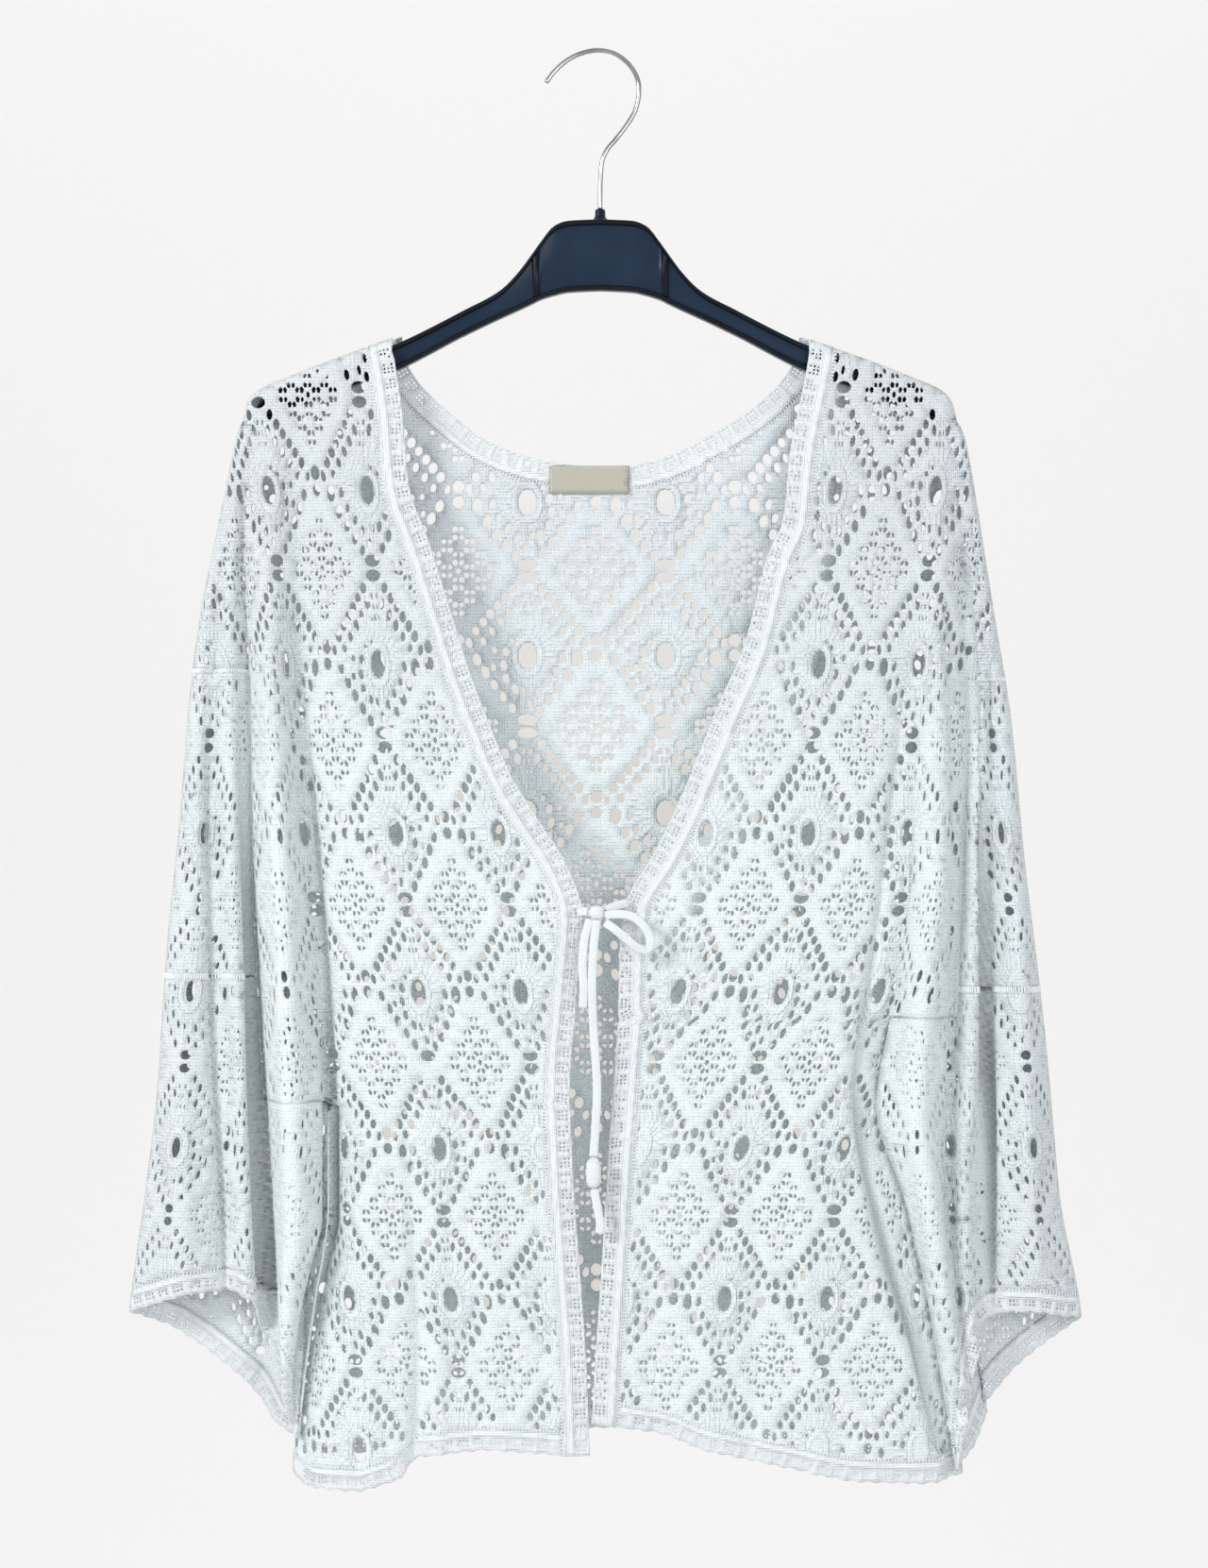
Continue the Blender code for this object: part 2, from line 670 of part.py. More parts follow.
def curve_points(edge, spacing):
    """Points evenly along a smooth curve through (x, z) points."""
    edge = np.array(edge, float)
    run = np.concatenate([[0], np.cumsum(np.linalg.norm(np.diff(edge, axis=0), axis=1))])
    places = np.linspace(0, run[-1], round(run[-1] / spacing) + 1)
    return [tuple(smooth(run, edge[:, k], t) for k in (0, 1)) for t in places]


def hung_edge(drape, side, edge, width, spacing):
    """A free edge, and the seam of its band that lies a width inside it.

    Both start on the shoulder line and follow the cloth over the hanger's arm.
    """
    shoulder = side["shoulder"]
    deepest = WRAP_DEPTHS[-1] + 4
    line = [(x, z) for x, z in curve_points(edge, spacing) if z < along(shoulder, x) - deepest]
    free = [(drape.length(x, z), z) for x, z in line]
    seam = aside(free, width)
    seam_x = [drape.point(*p)[0] for p in seam]
    out = []
    for (x, _), path in ((line[0], free), ((seam_x[0], 0), seam)):
        first = path[0]
        top_x = x + side["sign"] * 1.5
        start = []
        for depth in WRAP_DEPTHS:
            z = along(shoulder, top_x) - depth
            if z > first[1] + 3:
                start.append((drape.length(top_x, z), z))
        out.append(start + path)
    return out


def shoulder_run(drape, shoulder, inner_x, sign):
    """The shoulder line outwards from x, and points that follow it over the arm."""
    places = [p for p in shoulder if sign * p[0] > sign * inner_x + 6]
    top = [(drape.length(x, z), z - WRAP_DEPTHS[0]) for x, z in places]
    close = []
    for x in levels(inner_x + sign * 7, shoulder[-2][0] - sign * 3, 14):
        z = along(shoulder, x)
        close += [(drape.length(x, z), z - depth) for depth in WRAP_DEPTHS[1:]]
    return top, close


def front_panel(side, drape, lines, material):
    """One front, with its drop shoulder, roll and side."""
    sign, arm = side["sign"], side["underarm"] + UNDERARM_RISE
    seam = side["drop_seam"] + HALF_GAP
    free = aside(lines["front_seam"], -HALF_GAP)
    inner_x = drape.point(*free[0])[0]
    top, close = shoulder_run(drape, side["shoulder"], inner_x, sign)
    outline = [free[0], *top]
    outline += [(drape.ends(z)[0] + HALF_GAP, z) for z in levels(-240, seam, 27)]
    outline += [(mark_length(drape, mark, seam), seam) for mark in (1, 2, 3)]
    outline += [(mark_length(drape, ARMHOLE, z) + HALF_GAP, z) for z in armhole_levels(side, seam, arm)]
    outline += [(mark_length(drape, mark, arm), arm) for mark in (4.5, 5, 5.5, INNER)]
    hem = aside(lines["hem_seam"], HALF_GAP)
    hem[-1] = (hem[-1][0] - HALF_GAP, hem[-1][1])
    low = hem[0][1]
    outline += [(drape.ends(z)[0] + 0.1, z) for z in levels(side["underarm"], low, 30)[:-1]]
    outline += hem + [p for p in free[:0:-1] if p[1] > hem[-1][1] + 2]
    holes = lace_holes(
        side["first_oval"], FRONT_REPEAT, side["lean"], OVAL_ROWS, FRONT_OVAL, FRONT_EYE, (-150, 220)
    )
    inner = fold_grid(drape, -216, arm + 4, ROW, (1, 2, 3, 4.4, 5, 5.6, 6, 6.5, 7))
    inner += even_grid(55, 185, 34, -250, -840, ROW)
    inner += even_grid(-15, 35, 17, side["underarm"] - 20, -840, ROW)
    return cut_wall(f"front_{side['name']}", drape, outline, holes, inner, CLOTH, material, close)


def armhole_levels(side, top, bottom):
    """Heights down the armhole seam, shared by both pieces that meet there."""
    drop, tier, arm = side["drop_seam"], side["tier_seam"], side["underarm"]
    shared = levels(drop, tier, 13)[:6] + levels(drop, tier, 26)[3:] + levels(tier, arm, 26)[1:]
    return [top, *(z for z in shared if bottom + 4 < z < top - 4), bottom]


def front_lines(side, drape):
    """The free edge, the band's seam, the hem's edge and the hem's seam of one front."""
    free, seam = hung_edge(drape, side, side["front_edge"], -FRONT_BAND, 21)
    start = read(side["body"], 2, -860)
    sign = side["sign"]
    corner_x = side["front_edge"][-1][0] + sign * FRONT_BAND
    low = []
    for x in np.linspace(start, corner_x, 14):
        z = along(side["hem"], x)
        low.append((drape.length(x, z) if x != start else drape.ends(z)[0] + 0.1, z))
    free[-1] = (free[-1][0], along(side["hem"], side["front_edge"][-1][0]))
    seam[-1] = (seam[-1][0], low[-1][1])
    upper = [(c, z + HEM_BAND) for c, z in low]
    for line in (low, upper):
        z = line[-1][1]
        line[-1] = (float(np.interp(-z, [-p[1] for p in seam], [p[0] for p in seam])), z)
    return {"free": free, "front_seam": seam, "hem": low, "hem_seam": upper}


def front_trims(side, drape, lines, material):
    """The band down the free edge of a front, and the band on its lower edge."""
    seam = aside(lines["front_seam"], HALF_GAP)
    cut_wall(
        f"front_band_{side['name']}", drape, seam + lines["free"][::-1], [], [], BAND_CLOTH, material
    )
    upper = [(c, z - HALF_GAP) for c, z in lines["hem_seam"]]
    low = list(lines["hem"])
    for line in (upper, low):
        line[-1] = (line[-1][0] - HALF_GAP, line[-1][1])
    cut_wall(f"hem_{side['name']}", drape, upper + low[::-1], [], [], BAND_CLOTH, material)


def cuff_lines(drape, table, folds, inner_gap):
    """A cuff's lower edge and its seam to the sleeve, with a point on each fold."""
    low = []
    for mark in levels(0, folds, 0.5):
        z = table[-1][1]
        for _ in range(6):
            part = mark_length(drape, mark, z) / drape.ends(z)[1]
            z = float(np.interp(part, [r[0] for r in table], [r[1] for r in table]))
        low.append((HALF_GAP + part * (drape.ends(z)[1] - HALF_GAP - inner_gap), z))
    seam = aside(low, CUFF_BAND)
    last = low[-1][1] + CUFF_BAND
    seam[0] = (HALF_GAP, low[0][1] + CUFF_BAND)
    seam[-1] = (drape.ends(last)[1] - inner_gap, last)
    middle = [p for p in seam[1:-1] if HALF_GAP + 3 < p[0] < seam[-1][0] - 1.5]
    return low, [seam[0], *middle, seam[-1]]


def sleeve_halves(side, front, back, cloth, band):
    """The two tiers of a sleeve and its cuff, each as a front and a back half."""
    cut = 0
    name = side["name"]
    drop, tier, arm = side["drop_seam"], side["tier_seam"], side["underarm"]
    edge, inner_gap = HALF_GAP, SEAM_GAP

    def armhole_back(z):
        x = np.interp(-z, (-drop, -arm), side["back_armhole"])
        return back.length(x, z)

    holes = lace_holes(24, FRONT_REPEAT, 0.0, OVAL_ROWS, FRONT_OVAL, FRONT_EYE, (0, 200))
    grid = fold_grid(front, drop - 20, -830, ROW, (1, 2, 3, 3.6, 4.4, 5, 5.5))
    grid += fold_grid(front, arm - 20, -830, 16, (ARMHOLE,))
    grid_back = fold_grid(back, drop - 20, -830, ROW, (1, 2, 3, 4))

    first, last = drop - HALF_GAP, tier + HALF_GAP
    outline = [(edge, z) for z in levels(first, last, 31)]
    outline += [(mark_length(front, mark, last), last) for mark in (1, 2, 3)]
    outline += [
        (mark_length(front, ARMHOLE, z) - HALF_GAP, z) for z in armhole_levels(side, first, last)[::-1]
    ]
    outline += [(mark_length(front, mark, first), first) for mark in (3, 2, 1)]
    cut += cut_wall(f"sleeve_{name}_upper_front", front, outline, holes, grid, CLOTH, cloth)

    outline = [(edge, z) for z in levels(first - DROP_POINT, last, 31)]
    outline += [(armhole_back(last) * part, last) for part in (0.35, 0.7)]
    rise = armhole_levels(side, first - DROP_POINT, last)[::-1]
    outline += [(armhole_back(z) - SEAM_GAP, z) for z in rise]
    cut += cut_wall(f"sleeve_{name}_upper_back", back, outline, holes, grid_back, CLOTH, cloth)

    first, roll_top = tier - HALF_GAP, arm + UNDERARM_RISE - 3 * SEAM_GAP
    rim, seam = cuff_lines(front, side["cuff_front"], INNER, inner_gap)
    low = aside(seam, 1.5 * CUFF_SEAM)
    low[0], low[-1] = (edge, low[0][1]), (seam[-1][0], seam[-1][1] + CUFF_CORNER)
    outline = [(edge, z) for z in levels(first, low[0][1], 31)[:-1]] + low
    inner_edge = levels(roll_top, low[-1][1], 31)[:-1]
    outline += [(front.ends(z)[1] - inner_gap, z) for z in inner_edge[:0:-1]]
    outline += [(mark_length(front, mark, roll_top), roll_top) for mark in (5.9, 5.5, 5, 4.5)]
    rise = armhole_levels(side, first, roll_top)[::-1]
    outline += [(mark_length(front, ARMHOLE, z) - HALF_GAP, z) for z in rise]
    outline += [(mark_length(front, mark, first), first) for mark in (3, 2, 1)]
    cut += cut_wall(f"sleeve_{name}_lower_front", front, outline, holes, grid, CLOTH, cloth)
    upper = aside(seam, -CUFF_SEAM)
    upper[0], upper[-1] = (edge, upper[0][1]), (seam[-1][0], seam[-1][1] - CUFF_CORNER)
    cut_wall(f"cuff_{name}_front", front, rim + upper[::-1], [], [], BAND_CLOTH, band)

    rim, seam = cuff_lines(back, side["cuff_back"], INNER - 1, inner_gap)
    low = aside(seam, 1.5 * CUFF_SEAM)
    low[0], low[-1] = (edge, low[0][1]), (seam[-1][0], seam[-1][1] + CUFF_CORNER)
    outline = [(edge, z) for z in levels(first, low[0][1], 31)[:-1]] + low
    inner_edge = levels(arm, low[-1][1], 31)[:-1]
    outline += [(back.ends(z)[1] - inner_gap, z) for z in inner_edge[::-1]]
    rise = armhole_levels(side, first, arm + UNDERARM_RISE)[::-1]
    outline += [(armhole_back(z) - HALF_GAP, z) for z in rise]
    outline += [(armhole_back(first) * part, first) for part in (0.7, 0.35)]
    cut += cut_wall(f"sleeve_{name}_lower_back", back, outline, holes, grid_back, CLOTH, cloth)
    upper = aside(seam, -HALF_GAP)
    upper[0], upper[-1] = (edge, upper[0][1]), (seam[-1][0], seam[-1][1] - HALF_GAP)
    cut_wall(f"cuff_{name}_back", back, rim + upper[::-1], [], [], BAND_CLOTH, band)
    return cut


def back_lines(drape):
    """The back's neck edge and neck seam, its hem's edge and hem's seam, left to right."""
    middle = len(BACK_NECK_EDGE) // 2
    left = hung_edge(drape, LEFT, BACK_NECK_EDGE[: middle + 1], -NECK_BAND, 14)
    right = hung_edge(drape, RIGHT, BACK_NECK_EDGE[middle:][::-1], NECK_BAND, 14)
    neck = left[0][:-1] + right[0][::-1]
    seam = left[1][:-1] + right[1][-2::-1]
    hem = []
    start, stop = read(LEFT_BODY, 2, -858), read(RIGHT_BODY, 2, -862)
    for x in np.linspace(start, stop, 19):
        z = along(BACK_HEM, x)
        hem.append((drape.length(x, z), z))
    hem[0] = (drape.ends(hem[0][1])[0] + 0.2, hem[0][1])
    hem[-1] = (drape.ends(hem[-1][1])[1] - 0.2, hem[-1][1])
    return neck, seam, hem


def back_panel(drape, cloth, band):
    """The back, its neck band and its hem."""
    neck, seam, hem = back_lines(drape)
    below = aside(seam, -HALF_GAP)
    hem_seam = [(c, z + HEM_BAND + HALF_GAP) for c, z in hem]
    sides, close = [], []
    for side, end, inward, start in ((LEFT, 0, HALF_GAP, below[0]), (RIGHT, 1, -HALF_GAP, below[-1])):
        run, more = shoulder_run(drape, side["shoulder"], drape.point(*start)[0], side["sign"])
        close += more
        drop, arm = side["drop_seam"] - DROP_POINT + HALF_GAP, side["underarm"] + UNDERARM_RISE
        run += [(drape.ends(z)[end] + inward, z) for z in levels(-240, drop, 27)]
        for z in armhole_levels(side, drop, arm):
            x = np.interp(-z, (-side["drop_seam"], -side["underarm"]), side["back_armhole"])
            run.append((drape.length(x, z) + 2 * inward, z))
        corner = hem_seam[0][1] if end == 0 else hem_seam[-1][1]
        run += [(drape.ends(z)[end] + inward, z) for z in levels(side["underarm"], corner, 30)[:-1]]
        sides.append(run)
    outline = sides[0] + hem_seam + sides[1][::-1] + below[::-1]
    holes = lace_holes(-42.5, BACK_REPEAT, 0.0, BACK_OVAL_ROWS, BACK_OVAL, BACK_EYE, (-330, 330))
    inner = even_grid(-300, 300, 30, -225, -845, ROW)
    cut = cut_wall("back", drape, outline, holes, inner, CLOTH, cloth, close)
    above = aside(seam, HALF_GAP)
    cut_wall("back_neck_band", drape, neck + above[::-1], [], [], BAND_CLOTH, band)
    hem_top = [(c, z + HEM_BAND - HALF_GAP) for c, z in hem]
    cut_wall("hem_back", drape, hem_top + hem[::-1], [], [], BAND_CLOTH, band)
    return cut


def tube(name, route, depth, material, spacing, fine=2):
    """A round tube along a smooth curve through the route's points."""
    points = [np.array(p, float) for p in route]
    chain = [2 * points[0] - points[1], *points, 2 * points[-1] - points[-2]]
    line = []
    for a, b, c, d in zip(chain, chain[1:], chain[2:], chain[3:]):
        count = max(1, round(np.linalg.norm(c - b) / spacing))
        for s in np.linspace(0, 1, count, endpoint=False):
            square = 2 * a - 5 * b + 4 * c - d
            cube = 3 * b - a - 3 * c + d
            line.append(b + 0.5 * ((c - a) * s + square * s**2 + cube * s**3))
    line.append(points[-1])
    curve = bpy.data.curves.new(name, "CURVE")
    curve.dimensions = "3D"
    curve.bevel_depth = depth * MM / 2
    curve.bevel_resolution = fine
    curve.use_fill_caps = True
    spline = curve.splines.new("POLY")
    spline.points.add(len(line) - 1)
    for point, place in zip(spline.points, line):
        point.co = (*(place * MM), 1.0)
    return add_object(name, curve, material)


def rounded_block(name, centre, size, material, rings=7, around=10):
    """A soft knot: a ball squeezed to its size, with flattened ends."""
    points = [(0, 0, 1)]
    for i in range(1, rings):
        tilt = math.pi * i / rings
        for j in range(around):
            turn = 2 * math.pi * j / around
            wide = math.sin(tilt)
            points.append((wide * math.cos(turn), wide * math.sin(turn), math.cos(tilt)))
    points.append((0, 0, -1))
    place = [tuple((centre[k] + size[k] / 2 * p[k]) * MM for k in range(3)) for p in points]
    faces = []
    for j in range(around):
        after = (j + 1) % around
        faces.append((0, 1 + j, 1 + after))
        for i in range(rings - 2):
            a, b = 1 + i * around, 1 + (i + 1) * around
            faces.append((a + j, b + j, b + after, a + after))
        last = 1 + (rings - 2) * around
        faces.append((len(points) - 1, last + after, last + j))
    mesh = bpy.data.meshes.new(name)
    mesh.from_pydata(place, [], faces)
    return add_object(name, mesh, material)


def hanger_body(material):
    """An I-section beam lofted from tip to tip, with two upright ribs in its web."""
    stations = []
    rib = [(RIB_AT[0] - 0.4, False), (RIB_AT[0], True), (RIB_AT[1], True), (RIB_AT[1] + 0.4, False)]
    reach = [row[0] for row in HANGER_SECTIONS]
    flat = sorted([(r, False) for r in reach if not RIB_AT[0] - 1 < r < RIB_AT[1] + 1] + rib)
    for r, solid in flat:
        top = smooth(reach, [row[1] for row in HANGER_SECTIONS], r)
        low = smooth(reach, [row[2] for row in HANGER_SECTIONS], r)
        stations.append((r, solid, top, low))
    rows = [(-r, *rest) for r, *rest in stations[:0:-1]] + stations
    points, faces = [], []
    for r, solid, top, low in rows:
        half = HANGER_DEPTH / 2
        web = half - 0.8 if solid else HANGER_WEB / 2
        rim = min(HANGER_RIM, (top - low) / 3)
        outer = [
            (half - 1.4, top), (half, top - 1.2), (half, top - rim), (web, top - rim - 0.4),
            (web, low + rim + 0.4), (half, low + rim), (half, low + 1.2), (half - 1.4, low),
        ]
        ring = outer + [(-y, z) for y, z in outer[::-1]]
        points += [((HANGER_CENTRE + r) * MM, y * MM, z * MM) for y, z in ring]
    n = 16
    for i in range(len(rows) - 1):
        for j in range(n):
            a, b = i * n + j, i * n + (j + 1) % n
            faces.append((a, a + n, b + n, b))
    faces.append(tuple(range(n)))
    faces.append(tuple(range(len(points) - 1, len(points) - 1 - n, -1)))
    mesh = bpy.data.meshes.new("hanger_body")
    mesh.from_pydata(points, [], faces)
    return add_object("hanger_body", mesh, material)


def collar(material):
    """The moulded boss that the hook's wire goes into."""
    rings = ((3.0, -95.8), (3.2, -97.0), (3.2, -99.5), (4.4, -101.6))
    points, faces, around = [], [], 16
    for radius, z in rings:
        for j in range(around):
            turn = 2 * math.pi * j / around
            points.append(
                ((HANGER_CENTRE + radius * math.cos(turn)) * MM, radius * math.sin(turn) * MM, z * MM)
            )
    for i in range(len(rings) - 1):
        for j in range(around):
            a, b = i * around + j, i * around + (j + 1) % around
            faces.append((a, a + around, b + around, b))
    faces.append(tuple(range(around)))
    faces.append(tuple(range(len(points) - 1, len(points) - 1 - around, -1)))
    mesh = bpy.data.meshes.new("hanger_collar")
    mesh.from_pydata(points, [], faces)
    return add_object("hanger_collar", mesh, material)


class Laid:
    """A cloth's own surface moved forward, for a piece that lies on it."""

    def __init__(self, drape, forward):
        self.drape, self.forward = drape, forward
        self.half = drape.half

    def point(self, length, z):
        x, y, z = self.drape.point(length, z)
        return x, y - self.forward, z

    def across(self, length, z):
        return self.drape.across(length, z)


def neck_label(drape, material):
    """The bare label sewn inside the back neck."""
    laid = Laid(drape, (BAND_CLOTH + LABEL) / 2 + SEAM_GAP)
    left, right, top, low = LABEL_PLACE
    outline = [(drape.length(x, top), top) for x in levels(left, right, 16)]
    outline += [(drape.length(x, low), low) for x in levels(right, left, 16)]
    return cut_wall("neck_label", laid, outline, [], [], LABEL, material)


def build():
    clear_scene()
    cloth = finish("white_lace", (0.86, 0.89, 0.90), 0.9)
    band = finish("white_band", (0.88, 0.91, 0.92), 0.85)
    label = finish("beige_label", (0.72, 0.70, 0.60), 0.8)
    plastic = finish("black_plastic", (0.02, 0.025, 0.04), 0.3)
    chrome = finish("bright_wire", (0.62, 0.62, 0.63), 0.2, 1.0)
    cut = 0
    for side in SIDES:
        front = Drape(front_body_section(side), TOP, BOTTOM, (side,), -1)
        lines = front_lines(side, front)
        cut += front_panel(side, front, lines, cloth)
        front_trims(side, front, lines, band)
        top = side["underarm"] + 96 * 3
        sleeve_front = Drape(sleeve_front_section(side), top, BOTTOM, (side,), -1)
        sleeve_back = Drape(sleeve_back_section(side), top, BOTTOM, (side,), 0)
        cut += sleeve_halves(side, sleeve_front, sleeve_back, cloth, band)
    back = Drape(back_section, TOP, BOTTOM, SIDES, 1)
    cut += back_panel(back, cloth, band)
    neck_label(back, label)
    hanger_body(plastic)
    collar(plastic)
    hook = [(x, 0.0, z) for x, z in HOOK_ROUTE]
    tube("hook_wire", hook, HOOK_WIRE, chrome, 5.0)
    tube("tie_root_left", TIE_ROOT_LEFT, TIE_DEPTH, band, 4.0)
    tube("tie_root_right", TIE_ROOT_RIGHT, TIE_DEPTH, band, 5.0)
    tube("tie_loop", TIE_LOOP, TIE_DEPTH, band, 9.0)
    tube("tie_long", TIE_LONG, TIE_DEPTH, band, 12.0)
    tube("tie_short", TIE_SHORT, TIE_DEPTH, band, 9.0)
    tube("tie_tail", TIE_TAIL, TIE_DEPTH, band, 8.0)
    rounded_block("tie_knot", (0.2, -28.4, -524.6), (9.6, 8.4, 8.6), band)
    rounded_block("tie_end_knot", (-1.8, -31, -681.4), (9.5, 8.0, 19.0), band)


build()
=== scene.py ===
"""Open-front macrame cardigan with wide sleeves, hung on a plastic clothes hanger.

Sizes in the tables are millimetres. +Z is up, the front faces -Y, and the origin is
the inside top of the hook. The cloth is laid on the same drapes as the part's solids,
with all of its lace cut through.
"""

import math

import bmesh
import bpy
import numpy as np
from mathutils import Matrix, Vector
from mathutils.geometry import delaunay_2d_cdt


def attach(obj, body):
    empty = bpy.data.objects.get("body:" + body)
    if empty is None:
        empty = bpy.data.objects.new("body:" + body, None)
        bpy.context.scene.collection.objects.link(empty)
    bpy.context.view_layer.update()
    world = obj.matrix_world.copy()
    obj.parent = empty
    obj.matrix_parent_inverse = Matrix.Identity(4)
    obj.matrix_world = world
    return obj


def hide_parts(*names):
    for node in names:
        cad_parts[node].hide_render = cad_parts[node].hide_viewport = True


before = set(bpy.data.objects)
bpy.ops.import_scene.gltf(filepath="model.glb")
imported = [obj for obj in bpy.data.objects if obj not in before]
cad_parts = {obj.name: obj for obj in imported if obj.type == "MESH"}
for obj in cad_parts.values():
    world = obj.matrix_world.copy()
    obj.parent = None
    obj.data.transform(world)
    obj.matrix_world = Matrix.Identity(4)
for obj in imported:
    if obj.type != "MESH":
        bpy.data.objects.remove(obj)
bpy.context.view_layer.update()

MM = 0.001

# Driving sizes, as the solids have them
CLOTH = 1.1
BAND_SHEET = 1.3
SEAM_GAP = 0.3
FRONT_BAND = 16.0
NECK_BAND = 14.0
HEM_BAND = 14.0
CUFF_BAND = 14.0
ARM_WRAP = 8.6
SIDE_SEAM_SHIFT = 0.8
HANGER_CENTRE = 2.3
HANGER_DEPTH = 10.0
HANGER_WEB = 4.0
HANGER_RIM = 3.0
HOOK_WIRE = 3.0
LABEL = 0.7
LABEL_PLACE = (-29, 20, -251.5, -268.5)
LABEL_FORWARD = -1.9
WRAP_DEPTHS = (0.05, 1.5, 4.0, 9.0)

# The lace repeats in cells: an oval motif in the middle, a star at each corner, a pair of
# eyes between two ovals and a pair of rounder holes between two stars
CELL = (85.0, 97.0)
ROW_STEP = 95
OVAL_DROP = 5.0
BACK_REPEAT = 85.0
FRONT_REPEAT = 62.0
BACK_SMALL = 1.0
FRONT_SMALL = 1.0
SLEEVE_SMALL = 0.66
SLEEVE_FIRST_OVAL = 24.0
BACK_FIRST_OVAL = -42.5
# How far along its cloth each lace may run, and how many repeats are tried on either side
FRONT_SPAN = (-150, 230)
SLEEVE_SPAN = (0, 200)
BACK_SPAN = (-330, 330)
REPEATS = 9
# Each piece's own random draws, and one more or less for its side
SEEDS = {
    "front": 11, "front_band": 21, "front_hem": 31, "sleeve": 41, "cuff_front": 51, "cuff_back": 61, "back": 71,
    "neck_band": 81, "back_hem": 91,
}
# Solid cloth left round a hole, cloth under a band's edge, and steps along an edge and down a seam
EDGE_CLEAR = 1.2
UNDER_BAND = 1.5
EDGE_STEP = 6.0
SEAM_STEP = 12
# Star: steps between its hubs, half the gap between two slits, its half size, a slit's size,
# the hole in its middle, and how much a slit's size and turn vary
STAR_STEP = (7.0, 8.0)
STAR_PAIR = 2.05
STAR_HALF = (28.0, 32.0)
STAR_SLIT = (4.0, 2.7)
STAR_MIDDLE = (3.4, 4.0)
SLIT_SIZES = (0.8, 1.15)
SLIT_TURN = 0.25
# How much wider the slits are in the top rows of stars
FRONT_BOLD = (1.32,)
BACK_BOLD = (1.3, 1.3, 1.25, 1.15)
# The areas from which a hole has more corners, keeps its size, and stands straight
MIDDLE_HOLE = 22
STRAIGHT_HOLE = 60
LARGE_HOLE = 80
HOLE_LEAN = math.radians(14)
HOLE_SIZES = (0.88, 1.08)
# Oval motif: x, z from the motif's middle, width, height, and 1 if it is on both sides
OVAL_MOTIF = (
    (0, -5, 11.5, 16.5, 0),
    (0, 44.4, 12.6, 7.0, 0),
    (0, 52.6, 12.6, 7.2, 0),
    (42.5, 4.8, 7.6, 8.0, 0),
    (42.5, -4.8, 7.6, 8.0, 0),
    (8.9, 37.4, 5.2, 6.6, 1),
    (13.7, 31.8, 5.2, 6.6, 1),
    (18.2, 26.6, 5.3, 6.6, 1),
    (22.7, 21.4, 5.3, 6.6, 1),
    (27.1, 16.2, 5.3, 6.6, 1),
    (31.7, 10.6, 5.4, 6.8, 1),
    (35.9, 3.0, 4.0, 6.4, 1),
    (6.0, 28.6, 4.2, 7.4, 1),
    (11.4, 22.4, 3.8, 6.6, 1),
    (16.4, 16.6, 4.2, 6.6, 1),
    (21.8, 10.4, 4.0, 6.2, 1),
    (27.2, 4.0, 4.0, 5.6, 1),
    (-30.6, -6.8, 7.2, 10.4, 0),
    (-24.8, -17.0, 5.4, 8.2, 0),
    (-19.0, -25.2, 5.4, 7.6, 0),
    (-13.2, -32.4, 4.8, 7.4, 0),
    (-7.4, -38.6, 4.4, 6.8, 0),
    (-21.6, -6.4, 4.2, 6.8, 0),
    (-17.6, -15.0, 4.0, 6.0, 0),
    (-12.0, -21.8, 4.0, 6.0, 0),
    (-6.6, -28.0, 3.6, 6.4, 0),
    (-1.4, -34.8, 3.2, 6.4, 0),
    (31.0, -7.4, 5.0, 7.6, 0),
    (25.8, -15.2, 5.0, 7.6, 0),
    (20.4, -23.0, 5.2, 7.4, 0),
    (14.8, -30.4, 4.8, 7.4, 0),
    (9.2, -37.4, 4.8, 7.0, 0),
    (4.4, 7.4, 1.8, 3.0, 0),
    (9.4, 4.2, 3.2, 3.4, 0),
    (13.4, -2.6, 4.4, 6.0, 0),
    (14.6, -10.8, 4.4, 6.6, 0),
    (13.2, -19.2, 4.4, 6.6, 0),
    (20.2, -1.6, 3.4, 4.6, 0),
    (20.8, -12.2, 3.2, 5.0, 0),
    (7.6, -25.4, 4.2, 6.4, 0),
    (2.4, -26.6, 2.6, 5.6, 0),
    (-2.8, 20.8, 1.3, 3.6, 0),
    (0, 20.8, 1.3, 3.6, 0),
    (2.8, 20.8, 1.3, 3.6, 0),
    (-2.0, 27.0, 1.2, 3.4, 0),
    (1.0, 27.0, 1.2, 3.4, 0),
    (-2.2, 33.0, 1.6, 4.2, 0),
    (2.2, 33.0, 1.6, 4.2, 0),
)
# A band's squares of tiny holes, the holes' steps and size, and the wave of its edge
SQUARE_PITCH = 9.5
SQUARE_INSET = 4.6
SQUARE_STEP = (2.2, 2.3)
TINY_HOLE = (1.45, 1.65)
TINY_HOLE_CLOSED = 0.1
SCALLOP = 1.1
# How far a netted square reaches from its middle, as a part of the pitch, and where the
# squares and the smooth strip lie, in from a band's free edge
SQUARE_PART = (-1.0, -0.5, 0.24, 0.5)
NETTED_STRIP = (0.6, 1.6, 7.4, 8.4)
SMOOTH_STRIP = (8.6, 9.8, 12.6, 14.2)

